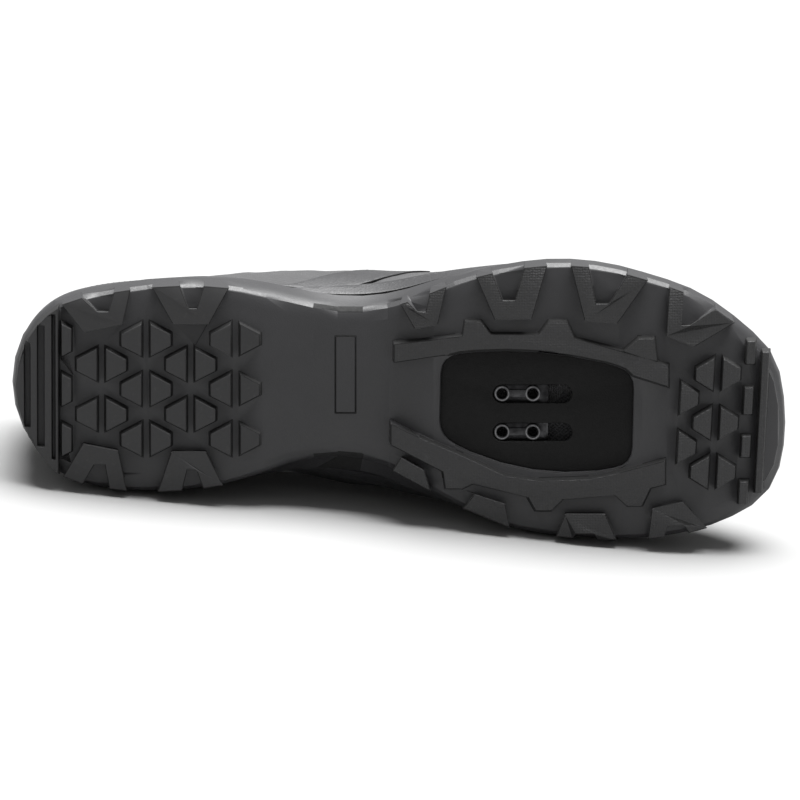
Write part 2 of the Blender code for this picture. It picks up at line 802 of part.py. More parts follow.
def rail(bm, edges, tabs):
    """A raised rail beside the cleat window, with tabs on its outer edge."""

    def outer(share):
        return place(share, float(smooth(share, edges["x"], edges["outer"])))

    outside = [outer(edges["x"][0])]
    for row in tabs:
        tab = dict(zip(TAB_COLUMNS.split(), row))
        outside += [
            outer(tab["root_back"]),
            place(tab["tip_back"], tab["reach"]),
            place(tab["tip_front"], tab["reach"]),
            outer(tab["root_front"]),
        ]
    outside.append(outer(edges["x"][-1]))
    inside = [place(x, y) for x, y in zip(edges["x"], edges["inner"])]
    lug(bm, outside + inside[::-1], tip_lift=RAIL_TOP)


def waist_panel(bm):
    """A bare raised panel on the waist."""
    (x, y), (length, width) = PANEL_CENTRE, PANEL_SIZE
    level = float(base_z(x))
    plan = rectangle(x - length / 2, x + length / 2, y - width / 2, y + width / 2)
    slab(bm, plan, level - PANEL_RAISE, level + LUG_ROOT)


def outsole(parent):
    bm = bmesh.new()
    edge = edge_ring()
    normal = outward(edge)
    x = edge[:, 0]
    base, rim = base_z(x), rim_z(x)
    up = np.array([0.0, 0.0, 1.0])

    def level(inset, height):
        return edge - normal * inset + up * np.asarray(height)[:, None]

    rings = [
        level(SIDE_FLARE, base + EDGE_ROUND),
        level(EDGE_SHOULDER_INSET, base + EDGE_SHOULDER_RISE),
        level(0, base + (rim - base) * WIDEST_SHARE),
        UPPER[RIM_LEVEL] + UPPER_NORMALS[RIM_LEVEL] * (RIM_GAP + RIM_EDGE),
        UPPER[RIM_LEVEL] + UPPER_NORMALS[RIM_LEVEL] * RIM_GAP,
    ]
    for below in range(RIM_LEVEL - 1, -1, -1):
        rings.append(UPPER[below] + UPPER_NORMALS[below] * RIM_GAP)
    rings[-1][:, 2] = floor_z(rings[-1][:, 0])
    verts = [add_ring(bm, ring) for ring in rings]
    for first, second in zip(verts, verts[1:]):
        skin(bm, first, second)
    close_across(bm, verts[0], base_z, SOLE_LINES)
    close_across(bm, verts[-1], floor_z, FLOOR_LINES)
    sole = finish_object("outsole", bm, "rubber", parent)

    tread = bmesh.new()
    for rows, side in ((LATERAL_LUGS, -1), (MEDIAL_LUGS, 1)):
        for row in rows:
            edge_lug(tread, row, side)
    heel_lugs(tread)
    toe_lugs(tread)
    heel_block(tread)
    rail(tread, LATERAL_RAIL, LATERAL_TABS)
    rail(tread, MEDIAL_RAIL, MEDIAL_TABS)
    waist_panel(tread)
    boolean(sole, "UNION", finish_object("tread_guide", tread, None, parent))

    grooves = bmesh.new()
    heel_grooves(grooves)
    boolean(sole, "DIFFERENCE", finish_object("groove_cutter", grooves, None, parent))

    window = window_plan()
    pocket = grow(window, WINDOW_LEDGE + CLEARANCE)
    steps = [
        (grow(window, WINDOW_BEVEL), CUTTER_START),
        (grow(window, WINDOW_BEVEL), WINDOW_BEVEL_START),
        (window, WINDOW_BEVEL_END),
        (window, PLATE_LEVEL),
        (pocket, PLATE_LEVEL),
        (pocket, PLATE_LEVEL + POCKET_DEPTH),
    ]
    cutter = bmesh.new()
    rings = [add_ring(cutter, [(px, py, z) for px, py in plan]) for plan, z in steps]
    for first, second in zip(rings, rings[1:]):
        skin(cutter, first, second)
    cutter.faces.new(rings[0])
    cutter.faces.new(rings[-1])
    boolean(sole, "DIFFERENCE", finish_object("window_cutter", cutter, None, parent))
    return sole


def slot_centres():
    x, y = CLEAT_CENTRE
    return [(x, y - SLOT_SPACING / 2), (x, y + SLOT_SPACING / 2)]


def cleat_plate(parent):
    low = PLATE_LEVEL + CLEARANCE
    bm = bmesh.new()
    slab(bm, grow(window_plan(), WINDOW_LEDGE), low, low + PLATE_THICKNESS)
    plate = finish_object("cleat_plate", bm, "nylon", parent)
    cutter = bmesh.new()
    for centre in slot_centres():
        slab(cutter, capsule(centre, SLOT_LENGTH, SLOT_WIDTH), 0, low + 2 * PLATE_THICKNESS)
    boolean(plate, "DIFFERENCE", finish_object("slot_cutter", cutter, None, parent))
    return plate


def cleat_nut_plate(parent):
    """Steel plate inside the cleat plate, at the heel end of its travel, with two bosses in each slot."""
    plate_low = PLATE_LEVEL + CLEARANCE
    sheet_low = plate_low + PLATE_THICKNESS + CLEARANCE
    back = CLEAT_CENTRE[0] - SLOT_LENGTH / 2 + BOSS_END_GAP + BOSS_RADIUS
    front = back + BOSS_PITCH
    reach = SLOT_SPACING / 2 + NUT_MARGIN
    _, middle = CLEAT_CENTRE
    bm = bmesh.new()
    plan = rectangle(back - NUT_MARGIN, front + NUT_MARGIN, middle - reach, middle + reach)
    slab(bm, plan, sheet_low, sheet_low + NUT_SHEET)
    nuts = finish_object("cleat_nut_plate", bm, "steel", parent, smooth_angle=30)
    bosses, webs, threads = bmesh.new(), bmesh.new(), bmesh.new()
    for _, y in slot_centres():
        for x in (back, front):
            slab(bosses, circle((x, y), BOSS_RADIUS), plate_low + BOSS_RECESS, sheet_low + NUT_SHEET / 2)
            slab(threads, circle((x, y), THREAD_RADIUS), 0, sheet_low + 2 * NUT_SHEET)
        inset, half = BOSS_RADIUS / 2, WEB_WIDTH / 2
        web = rectangle(back + inset, front - inset, y - half, y + half)
        slab(webs, web, plate_low + 2 * BOSS_RECESS, sheet_low + NUT_SHEET / 3)
    boolean(nuts, "UNION", finish_object("boss_guide", bosses, None, parent))
    boolean(nuts, "UNION", finish_object("web_guide", webs, None, parent))
    boolean(nuts, "DIFFERENCE", finish_object("thread_cutter", threads, None, parent))
    return nuts


def upper(parent):
    """One hollow wall, open at the collar, at the throat and underneath."""
    bm = bmesh.new()
    inside = UPPER - UPPER_NORMALS * UPPER_WALL
    inside[0, :, 2] = UPPER[0, :, 2]
    rings = [add_ring(bm, ring) for ring in UPPER] + [add_ring(bm, ring) for ring in inside[::-1]]
    for first, second in zip(rings, rings[1:] + rings[:1]):
        skin(bm, first, second)
    return finish_object("upper", bm, "shell", parent)


def insole(parent):
    bm = bmesh.new()
    edge = edge_ring()
    normal = outward(edge)
    rim = (edge - normal * (SIDE_WALL + UPPER_WALL + INSOLE_GAP))[::2]

    def under(x):
        return float(floor_z(x)) + CLEARANCE

    def over(x):
        return under(x) + INSOLE_THICKNESS

    low = add_ring(bm, [(x, y, under(x)) for x, y, _ in rim])
    high = add_ring(bm, [(x, y, over(x)) for x, y, _ in rim])
    skin(bm, low, high)
    close_across(bm, low, under, INSOLE_LINES)
    close_across(bm, high, over, INSOLE_LINES)
    return finish_object("insole", bm, "foam", parent)


def across_throat(start, end, rise):
    """Points over the throat between its two edges."""
    points = []
    for share in (0.25, 0.5, 0.75):
        lift = np.array([0, 0, rise * 4 * share * (1 - share)])
        points.append(start * (1 - share) + end * share + lift)
    return points


def tongue(parent):
    """Padded sheet under the throat, tucked under the upper at its sides and front and free at its top."""
    count = 2 * STATIONS
    over = STRAPS["strap_top"]
    strap_back = over["centre"] * LENGTH - over["width"] / 2
    first = int(np.searchsorted(UPPER[LEVELS, :STATIONS, 0], strap_back - CLEARANCE)) - 1
    last = STATIONS - 2
    strap_line = UPPER[LEVELS] + UPPER_NORMALS[LEVELS] * STRAP_LIFT

    def surface(depth):
        offset = UPPER - UPPER_NORMALS * (UPPER_WALL + TONGUE_GAP + depth)
        top, below = offset[LEVELS], offset[LEVELS - 1]
        under_strap = np.array([0, 0, TONGUE_GAP + depth])
        rows = []
        for i in range(first, last):
            j = count - i
            crown = [p - under_strap for p in across_throat(strap_line[i], strap_line[j], STRAP_RISE)]
            rows.append([below[i], top[i], *crown, top[j], below[j]])
        free = []
        crown = rows[0][3]
        lateral_half, height = crown[1] - rows[0][1][1], crown[2] - rows[0][1][2]
        for back, up, width in zip(TONGUE_TOP["back"], TONGUE_TOP["up"], TONGUE_TOP["width"]):
            moved = []
            for part in TONGUE_TOP_PARTS:
                sag = height * TONGUE_TOP_SAG * part * part
                step = np.array([-back, lateral_half * width * part, up - sag])
                moved.append(crown + step)
            free.append(moved)
        ring = [last, last + 1, STATIONS, count - last - 1, count - last]
        rows.append([below[last], *(top[k] for k in ring), below[count - last]])
        turn = [below[last + 1] * s + below[last] * (1 - s) for s in (0.3, 0.65, 1.0)]
        back = [below[count - last - 1] * s + below[count - last] * (1 - s) for s in (1.0, 0.65, 0.3)]
        rows.append([*turn, below[STATIONS], *back])
        return free[::-1] + rows

    bm = bmesh.new()
    outer = surface(0)
    inner = surface(TONGUE_THICKNESS)
    for k in range(len(TONGUE_TOP["back"])):
        inner[k] = [point - np.array([TONGUE_THICKNESS, 0, 0]) for point in outer[k]]
    sheet_solid(bm, outer, inner)
    return finish_object("tongue", bm, "foam", parent, smooth_angle=50)


def collar_pad(parent):
    """Padded roll inside the collar, from one side of the throat round the heel to the other."""
    last = int(np.searchsorted(SHARES, COLLAR_PAD_END))
    ring = [*range(last, -1, -1), *range(2 * STATIONS - 1, 2 * STATIONS - last - 1, -1)]
    wall = UPPER - UPPER_NORMALS * (UPPER_WALL + CLEARANCE)
    normals = outward(UPPER[LEVELS])
    bm = bmesh.new()
    sections = []
    for k in ring:
        top = wall[LEVELS, k, 2] + COLLAR_PAD_RISE
        section = []
        for step in range(8):
            angle = 2 * math.pi * (step + 0.5) / 8
            depth = COLLAR_PAD_THICKNESS * (1 - math.cos(angle) / math.cos(math.pi / 8)) / 2
            z = top - COLLAR_PAD_HEIGHT * (1 - math.sin(angle)) / 2
            x, y = (np.interp(z, wall[:, k, 2], wall[:, k, axis]) for axis in (0, 1))
            section.append(bm.verts.new((x - normals[k, 0] * depth, y - normals[k, 1] * depth, z)))
        sections.append(section)
    for first, second in zip(sections, sections[1:]):
        skin(bm, first, second)
    bm.faces.new(sections[0])
    bm.faces.new(sections[-1])
    return finish_object("collar_pad", bm, "foam", parent, smooth_angle=60)


def overlay(name, edge, parent, round_toe=False):
    """A layer over the upper, cut from a shell of the upper's own form by its outline in side view."""
    bm = bmesh.new()
    near = UPPER + UPPER_NORMALS * OVERLAY_LIFT
    far = UPPER + UPPER_NORMALS * (OVERLAY_LIFT + OVERLAY_THICKNESS)
    rings = [add_ring(bm, ring) for ring in near[RIM_LEVEL:]]
    rings += [add_ring(bm, ring) for ring in far[: RIM_LEVEL - 1 : -1]]
    for first, second in zip(rings, rings[1:] + rings[:1]):
        skin(bm, first, second)
    layer = finish_object(name, bm, "overlay", parent)

    def above_rim(share):
        return float(rim_z(np.clip(share, 0, 1) * LENGTH))

    lower = np.linspace(edge["x"][0], edge["x"][-1], 14)
    top = [(s * LENGTH, above_rim(s) + h * INSTEP_HEIGHT) for s, h in zip(edge["x"], edge["top"])]
    if round_toe:
        lower = np.append(lower, TOE_WRAP)
        top.append((TOE_WRAP[-1] * LENGTH, INSTEP_HEIGHT))
    bottom = [(s * LENGTH, above_rim(s) + OVERLAY_STEP) for s in lower]
    outline = bottom + top[::-1]
    cutter = bmesh.new()
    prism(
        cutter,
        [(x, -BALL_WIDTH, z) for x, z in outline],
        [(x, BALL_WIDTH, z) for x, z in outline],
    )
    boolean(layer, "INTERSECT", finish_object(f"{name}_guide", cutter, None, parent))
    return layer


def strap(name, sizes, parent):
    """A strap over the throat, from a level on the lateral side to one on the medial side."""
    count = 2 * STATIONS
    top_x = UPPER[LEVELS, : STATIONS + 1, 0] / LENGTH
    half = sizes["width"] / LENGTH / 2
    places = np.interp([sizes["centre"] - half, sizes["centre"] + half], top_x, np.arange(STATIONS + 1))
    inner_stations = range(math.ceil(places[0] + 0.1), math.floor(places[1] - 0.1) + 1)
    columns = [places[0], *inner_stations, places[1]]

    def surface(lift):
        grid = UPPER + UPPER_NORMALS * lift

        def at(level, place, side):
            low = int(place)
            share = place - low
            k = [low, low + 1] if side < 0 else [(count - low) % count, count - low - 1]
            return grid[level, k[0]] * (1 - share) + grid[level, k[1]] * share

        rows = []
        for place in columns:
            lateral = [at(level, place, -1) for level in range(sizes["lateral"], LEVELS + 1)]
            medial = [at(level, place, 1) for level in range(LEVELS, sizes["medial"] - 1, -1)]
            rows.append([*lateral, *across_throat(lateral[-1], medial[0], STRAP_RISE), *medial])
        return rows

    bm = bmesh.new()
    sheet_solid(bm, surface(STRAP_LIFT + STRAP_THICKNESS), surface(STRAP_LIFT))
    return finish_object(name, bm, "strap", parent, smooth_angle=50)


def world_points(item, graph):
    mesh = item.evaluated_get(graph).to_mesh()
    points = np.array([v.co for v in mesh.vertices])
    mesh.calc_loop_triangles()
    faces = np.array([t.vertices for t in mesh.loop_triangles])
    item.evaluated_get(graph).to_mesh_clear()
    return points, faces


def mass_centre(pieces, graph):
    total, moment = 0.0, np.zeros(3)
    for item in pieces:
        points, faces = world_points(item, graph)
        corners = points[faces]
        volumes = np.einsum("ij,ij->i", corners[:, 0], np.cross(corners[:, 1], corners[:, 2])) / 6
        density = FINISHES[item.data.materials[0].name][3]
        total += density * volumes.sum()
        moment += density * (volumes[:, None] * corners.sum(axis=1) / 4).sum(axis=0)
    return Vector(moment / total)


def hull_faces(points):
    bm = bmesh.new()
    for point in points:
        bm.verts.new(point)
    hull = bmesh.ops.convex_hull(bm, input=bm.verts)
    spare = [v for v in bm.verts if not v.link_faces]
    bmesh.ops.delete(bm, geom=spare, context="VERTS")
    bmesh.ops.recalc_face_normals(bm, faces=bm.faces)
    faces = [([v.co.copy() for v in f.verts], f.normal.copy()) for f in bm.faces]
    bm.free()
    return faces


def holds(corners, normal, point):
    """Whether the foot of the point on the plane of this face lies within the face."""
    around = zip(corners, corners[1:] + corners[:1])
    return all((b - a).cross(point - a).dot(normal) >= 0 for a, b in around)


def resting_normal(faces, centre, side):
    """Outward normal of the hull's face on this side on which the shoe rests without tipping."""
    return max((n for corners, n in faces if holds(corners, n, centre)), key=side.dot)


def lay_down(rest, pieces):
    """Turns the shoe on to its medial side and puts the middle of its footprint at the origin."""
    bpy.context.view_layer.update()
    graph = bpy.context.evaluated_depsgraph_get()
    points = np.concatenate([world_points(item, graph)[0] for item in pieces])
    down = resting_normal(hull_faces(points), mass_centre(pieces, graph), Vector((0, 1, 0)))
    forward = (Vector((1, 0, 0)) - down * down.x).normalized()
    across = (-down).cross(forward)
    turn = Matrix((forward, across, -down))
    turned_points = points @ np.array(turn).T
    low, high = turned_points.min(axis=0), turned_points.max(axis=0)
    place = Vector(((low[0] + high[0]) / -2, (low[1] + high[1]) / -2, -low[2]))
    rest.matrix_world = Matrix.Translation(place) @ turn.to_4x4()
    bpy.context.view_layer.update()


def main():
    clear_scene()
    rest = bpy.data.objects.new("shoe_rest", None)
    bpy.context.scene.collection.objects.link(rest)
    pieces = [
        outsole(rest),
        cleat_plate(rest),
        cleat_nut_plate(rest),
        upper(rest),
        insole(rest),
        tongue(rest),
        collar_pad(rest),
        overlay("forefoot_overlay", FOREFOOT_OVERLAY, rest, round_toe=True),
        overlay("heel_counter", HEEL_COUNTER, rest),
        *(strap(name, sizes, rest) for name, sizes in STRAPS.items()),
    ]
    lay_down(rest, pieces)


main()
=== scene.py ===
import json
import math

import bmesh
import bpy
from mathutils import Matrix, Vector, noise
from mathutils.bvhtree import BVHTree


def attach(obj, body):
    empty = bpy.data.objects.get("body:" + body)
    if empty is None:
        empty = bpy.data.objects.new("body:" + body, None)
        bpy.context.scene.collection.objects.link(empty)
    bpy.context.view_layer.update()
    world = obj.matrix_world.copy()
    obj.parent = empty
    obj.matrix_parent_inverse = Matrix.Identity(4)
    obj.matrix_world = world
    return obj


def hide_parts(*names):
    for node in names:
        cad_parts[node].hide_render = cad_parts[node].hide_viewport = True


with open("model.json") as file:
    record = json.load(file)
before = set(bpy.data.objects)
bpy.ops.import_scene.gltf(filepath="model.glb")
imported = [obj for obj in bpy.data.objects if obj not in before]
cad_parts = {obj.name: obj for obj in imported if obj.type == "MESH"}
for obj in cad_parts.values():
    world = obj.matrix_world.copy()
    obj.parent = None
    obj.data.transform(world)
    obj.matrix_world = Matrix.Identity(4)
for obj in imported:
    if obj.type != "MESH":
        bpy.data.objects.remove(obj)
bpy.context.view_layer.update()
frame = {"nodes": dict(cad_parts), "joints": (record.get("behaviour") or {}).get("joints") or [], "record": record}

print("frame loaded:", len(frame["nodes"]), "pieces")

# The shoe's own frame: x to the toe, y to the medial side, z from the tread to the foot
shoe = {
    "seat": (0.1882, 0.0082, 0.0063),  # the cleat seat's place in it
    "length": 0.280,
    "axisHeight": 0.045,  # of the line that angles are measured round
    "toeSpring": 0.017,
    "toeSpringStart": 0.224,
    "springPower": 1.8,
    "heelBevel": 0.006,
    "heelBevelEnd": 0.024,
}


def shoeMatrix():
    seat = next(m for m in frame["record"]["mounts"] if m["name"] == "cleat_seat")
    toeward = Vector(frame["joints"][0]["axis"]).normalized()
    up = -Vector(seat["axis"])
    up = (up - toeward * up.dot(toeward)).normalized()
    turn = Matrix((toeward, up.cross(toeward), up)).transposed()
    place = Vector(seat["pos_m"]) - turn @ Vector(shoe["seat"])
    return Matrix.Translation(place) @ turn.to_4x4()


toWorld = shoeMatrix()
toShoe = toWorld.inverted()


# Node maths

class Value:
    def __init__(self, shade, socket):
        self.shade = shade
        self.socket = socket

    def math(self, operation, other=None, swap=False):
        pair = (other, self) if swap else (self, other)
        sockets = {i: v for i, v in enumerate(pair) if v is not None}
        return self.shade.add("ShaderNodeMath", {"operation": operation}, sockets)

    def __add__(self, other):
        return self.math("ADD", other)

    def __sub__(self, other):
        return self.math("SUBTRACT", other)

    def __rsub__(self, other):
        return self.math("SUBTRACT", other, swap=True)

    def __mul__(self, other):
        return self.math("MULTIPLY", other)

    def __pow__(self, other):
        return self.math("POWER", other)


class Shade:
    def __init__(self, name, colour, roughness, **fixed):
        self.material = bpy.data.materials.new(name)
        self.material.use_nodes = True
        self.tree = self.material.node_tree
        self.surface = self.tree.nodes["Principled BSDF"]
        self.material.diffuse_color = (*colour, 1)
        self.set("Base Color", (*colour, 1))
        self.set("Roughness", roughness)
        for socket, value in fixed.items():
            self.set(socket.replace("_", " "), value)

    def set(self, socket, value):
        self.feed(self.surface.inputs[socket], value)

    def feed(self, socket, value):
        if isinstance(value, Value):
            self.tree.links.new(value.socket, socket)
        else:
            socket.default_value = value

    def add(self, kind, settings=None, sockets=None, out=0):
        node = self.tree.nodes.new(kind)
        for name, value in (settings or {}).items():
            setattr(node, name, value)
        for name, value in (sockets or {}).items():
            self.feed(node.inputs[name], value)
        return Value(self, node.outputs[out])

    # place on the shoe, in metres along its own axes
    def place(self):
        where = self.add("ShaderNodeTexCoord", out="Object")
        turn = {"Location": toWorld.translation, "Rotation": toWorld.to_euler()}
        return self.add("ShaderNodeMapping", {"vector_type": "TEXTURE"}, {"Vector": where, **turn})

    # the piece's own map, in metres over its surface
    def wrap(self):
        return self.add("ShaderNodeUVMap", {"uv_map": "wrap"})

    def part(self, vector, axis):
        return self.add("ShaderNodeSeparateXYZ", None, {0: vector}, out=axis)

    def noise(self, vector, scale, detail=2.0, roughness=0.5):
        sockets = {"Vector": vector, "Scale": scale, "Detail": detail, "Roughness": roughness}
        return self.add("ShaderNodeTexNoise", None, sockets)

    def cells(self, vector, scale, randomness=1.0):
        sockets = {"Vector": vector, "Scale": scale, "Randomness": randomness}
        return self.add("ShaderNodeTexVoronoi", None, sockets, out="Distance")

    # 0 up to the first value, 1 past the second
    def ramp(self, value, low, high):
        sockets = {"Value": value, "From Min": low, "From Max": high}
        return self.add("ShaderNodeMapRange", {"interpolation_type": "SMOOTHSTEP"}, sockets)

    def mixed(self, share, first, second):
        node = self.tree.nodes.new("ShaderNodeMix")
        node.data_type = "RGBA"
        self.feed(node.inputs["Factor"], share)
        for socket, colour in (("A", first), ("B", second)):
            target = next(s for s in node.inputs if s.name == socket and s.type == "RGBA")
            self.feed(target, colour if isinstance(colour, Value) else (*colour, 1))
        return Value(self, next(s for s in node.outputs if s.type == "RGBA"))

    def bump(self, height, distance, after=None):
        sockets = {"Height": height, "Distance": distance, "Strength": 1.0}
        if after is not None:
            sockets["Normal"] = after
        return self.add("ShaderNodeBump", None, sockets)

    # fine unevenness of a given scale and depth
    def grain(self, place, scale, depth):
        return self.bump(self.noise(place, scale), depth)

    # roughness from "below" under the middle value upwards, by a share of a noise
    def matt(self, place, middle, scale, detail, share, below):
        return self.noise(place, scale, detail) * share + (middle - below)


# Finishes. In each, matt holds scale, detail, share and below, grain holds scale and depth,
# and shown holds the two values that a noise is ramped between

rubber = {
    "colour": (0.019, 0.019, 0.0202),
    "light": (0.027, 0.027, 0.0290),
    "lug": (0.015, 0.015, 0.0155),
    # painted shade: a near-black colour for the lug walls, standing in for the shadow deep in the grooves
    "wall": (0.0030, 0.0030, 0.0032),
    "dust": (0.046, 0.046, 0.048),
    "cloudScale": 55,
    "lugShare": 0.8,
    "lugLevel": (0.0011, 0.0019),  # height above the tread where the lugs' faces end
    "rubbed": {"scale": 420, "detail": 4, "roughness": 0.65, "shown": (0.56, 0.78), "share": 0.35},
    "roughness": 0.50,
    "matt": (900, 2, 0.18, 0.10),
    "lugMatt": 0.07,
    "wallMatt": 0.35,
    "grain": (2600, 0.00005),
    # from and to are shares of the length, where the stippled lugs begin
    "stipple": {"scale": 1050, "randomness": 0.35, "depth": 0.00022, "from": 0.49, "to": 0.50},
}


def rubberFinish():
    shade = Shade("moulded_rubber", rubber["colour"], rubber["roughness"])
    place = shade.place()
    x, z = shade.part(place, 0), shade.part(place, 2)
    toeward = (x - shoe["toeSpringStart"]) * (1 / (shoe["length"] - shoe["toeSpringStart"]))
    spring = toeward.math("MAXIMUM", 0.0) ** shoe["springPower"] * shoe["toeSpring"]
    heelward = (x * (-1 / shoe["heelBevelEnd"]) + 1).math("MAXIMUM", 0.0)
    level = z - spring - heelward * heelward * shoe["heelBevel"]
    lugFace = 1 - shade.ramp(level, *rubber["lugLevel"])
    # the faces that get painted shade, marked on the mesh by makeSole
    wall = shade.add("ShaderNodeAttribute", {"attribute_name": "wall"}, out=2)

    cloud = shade.noise(place, rubber["cloudScale"], 3)
    base = shade.mixed(cloud, rubber["colour"], rubber["light"])
    base = shade.mixed(lugFace * rubber["lugShare"], base, rubber["lug"])
    rub = rubber["rubbed"]
    spots = shade.noise(place, rub["scale"], rub["detail"], rub["roughness"])
    rubbed = shade.ramp(spots, *rub["shown"]) * lugFace * rub["share"]
    colour = shade.mixed(rubbed, base, rubber["dust"])
    # painted shade on the lug walls
    shade.set("Base Color", shade.mixed(wall, colour, rubber["wall"]))

    matt = shade.matt(place, rubber["roughness"], *rubber["matt"])
    shade.set("Roughness", matt + lugFace * rubber["lugMatt"] + wall * rubber["wallMatt"])

    stipple = rubber["stipple"]
    forefoot = shade.ramp(x, stipple["from"] * shoe["length"], stipple["to"] * shoe["length"])
    dots = shade.cells(place, stipple["scale"], stipple["randomness"])
    grain = shade.grain(place, *rubber["grain"])
    shade.set("Normal", shade.bump(dots * lugFace * forefoot, stipple["depth"], grain))
    return shade.material


# Finishes with a finely pebbled skin: scale and depth of the pebbles
pebbled = {
    "nylon": {
        "material": "grained_nylon",
        "colour": (0.0045, 0.0045, 0.0045),
        "light": (0.0070, 0.0070, 0.0070),
        "cloudScale": 90,
        "roughness": 0.62,
        "matt": (700, 2, 0.20, 0.10),
        "shine": 0.18,
        "pebbles": (1700, 0.00009),
        "grain": None,
    },
    "film": {
        "material": "welded_film",
        "colour": (0.017, 0.017, 0.0182),
        "light": (0.025, 0.025, 0.0270),
        "cloudScale": 70,
        "roughness": 0.50,
        "matt": (500, 3, 0.22, 0.10),
        "shine": 0.5,
        "pebbles": (1250, 0.00008),
        "grain": (3000, 0.00003),
    },
}


def pebbledFinish(skin):
    shine = {"Specular_IOR_Level": skin["shine"]}
    shade = Shade(skin["material"], skin["colour"], skin["roughness"], **shine)
    place = shade.place()
    cloud = shade.noise(place, skin["cloudScale"], 3)
    shade.set("Base Color", shade.mixed(cloud, skin["colour"], skin["light"]))
    shade.set("Roughness", shade.matt(place, skin["roughness"], *skin["matt"]))
    scale, depth = skin["pebbles"]
    grain = shade.grain(place, *skin["grain"]) if skin["grain"] else None
    shade.set("Normal", shade.bump(shade.cells(place, scale), depth, grain))
    return shade.material


# Darkened steel with a painted highlight: a brighter ring painted on the end of each boss, round the chamfer of
# its hole
zinc = {
    "colour": (0.055, 0.055, 0.057),
    "dull": (0.024, 0.024, 0.025),
    # painted highlight: the colour of the ring round each hole
    "bare": (0.17, 0.17, 0.175),
    "ring": (0.0021, 0.0023, 0.0025, 0.0027),  # radii where it fades in and out again
    "tarnish": {"scale": 380, "detail": 4, "roughness": 0.6, "shown": (0.35, 0.75)},
    "roughness": 0.36,
    "tarnishMatt": {"share": 0.2, "below": 0.06},
    "grain": (1800, 0.00003),
}
boss = {"alongX": 0.00555, "alongY": 0.0070}  # how far they stand from the nut plate's middle


def middleOf(name):
    points = [toShoe @ vert.co for vert in frame["nodes"][name].data.vertices]
    return [(min(p[k] for p in points) + max(p[k] for p in points)) / 2 for k in range(3)]


def zincFinish():
    shade = Shade("darkened_steel", zinc["colour"], zinc["roughness"], Metallic=1.0)
    place = shade.place()
    stain = zinc["tarnish"]
    spots = shade.noise(place, stain["scale"], stain["detail"], stain["roughness"])
    tarnish = shade.ramp(spots, *stain["shown"])
    middle = middleOf("cleat_nut_plate")
    acrossX = (shade.part(place, 0) - middle[0]).math("ABSOLUTE") - boss["alongX"]
    acrossY = (shade.part(place, 1) - middle[1]).math("ABSOLUTE") - boss["alongY"]
    radius = (acrossX * acrossX + acrossY * acrossY).math("SQRT")
    inner, innerFull, outerFull, outer = zinc["ring"]
    # where the painted highlight ring lies, round each hole
    bare = shade.ramp(radius, inner, innerFull) * (1 - shade.ramp(radius, outerFull, outer))
    steel = shade.mixed(tarnish, zinc["colour"], zinc["dull"])
    shade.set("Base Color", shade.mixed(bare, steel, zinc["bare"]))
    matt = zinc["tarnishMatt"]
    shade.set("Roughness", tarnish * matt["share"] + (zinc["roughness"] - matt["below"]))
    shade.set("Normal", shade.grain(place, *zinc["grain"]))
    return shade.material


# Cloths differ in their colours, in how far apart their threads lie and in how deep the weave is
cloths = {
    "shell_mesh": {
        "low": (0.010, 0.010, 0.011),
        "high": (0.030, 0.030, 0.032),
        "pitch": 0.00135,
        "depth": 0.00020,
        "roughness": 0.72,
    },
    "lining_knit": {
        "low": (0.010, 0.010, 0.011),
        "high": (0.034, 0.034, 0.036),
        "pitch": 0.0011,
        "depth": 0.00014,
        "roughness": 0.9,
    },
    "pad_knit": {
        "low": (0.012, 0.012, 0.013),
        "high": (0.040, 0.040, 0.043),
        "pitch": 0.0016,
        "depth": 0.00022,
        "roughness": 0.88,
    },
    "strap_weave": {
        "low": (0.014, 0.014, 0.015),
        "high": (0.036, 0.036, 0.038),
        "pitch": 0.0010,
        "depth": 0.00012,
        "roughness": 0.66,
    },
}
weave = {
    "sheen": {"Sheen_Weight": 0.25, "Sheen_Roughness": 0.5},
    "twill": 0.35,
    "threads": (0.2, 0.75),  # heights between which the low colour turns into the high one
    "worn": {"scale": 45, "detail": 4, "roughness": 0.6, "shown": (0.45, 0.8), "share": 0.4},
    "paler": 1.5,
    "matt": (300, 2, 0.15, 0.07),
    "fuzz": (2400, 0.00006),
}


def clothFinish(name):
    cloth = cloths[name]
    shade = Shade(name, cloth["high"], cloth["roughness"], **weave["sheen"])
    wrap = shade.wrap()
    turn = 2 * math.pi / cloth["pitch"]
    u, v = shade.part(wrap, 0) * turn, shade.part(wrap, 1) * turn
    twill = (u * 0.5 + v * 0.5).math("SINE") * weave["twill"]
    threads = (u.math("SINE") * v.math("SINE") + twill) * 0.5 + 0.5
    place = shade.place()
    wear = weave["worn"]
    spots = shade.noise(place, wear["scale"], wear["detail"], wear["roughness"])
    worn = shade.ramp(spots, *wear["shown"]) * wear["share"]
    woven = shade.mixed(shade.ramp(threads, *weave["threads"]), cloth["low"], cloth["high"])
    paler = tuple(c * weave["paler"] for c in cloth["high"])
    shade.set("Base Color", shade.mixed(worn, woven, paler))
    shade.set("Roughness", shade.matt(place, cloth["roughness"], *weave["matt"]))
    fuzz = shade.grain(place, *weave["fuzz"])
    shade.set("Normal", shade.bump(threads, cloth["depth"], fuzz))
    return shade.material


thread = {
    "colour": (0.050, 0.050, 0.053),
    "dark": (0.022, 0.022, 0.023),
    "roughness": 0.6,
    "sheen": 0.2,
    "twist": (3500, 0.00008),
}


def threadFinish():
    sheen = {"Sheen_Weight": thread["sheen"]}
    shade = Shade("sewing_thread", thread["colour"], thread["roughness"], **sheen)
    scale, depth = thread["twist"]
    twist = shade.noise(shade.place(), scale)
    shade.set("Base Color", shade.mixed(twist, thread["dark"], thread["colour"]))
    shade.set("Normal", shade.bump(twist, depth))
    return shade.material


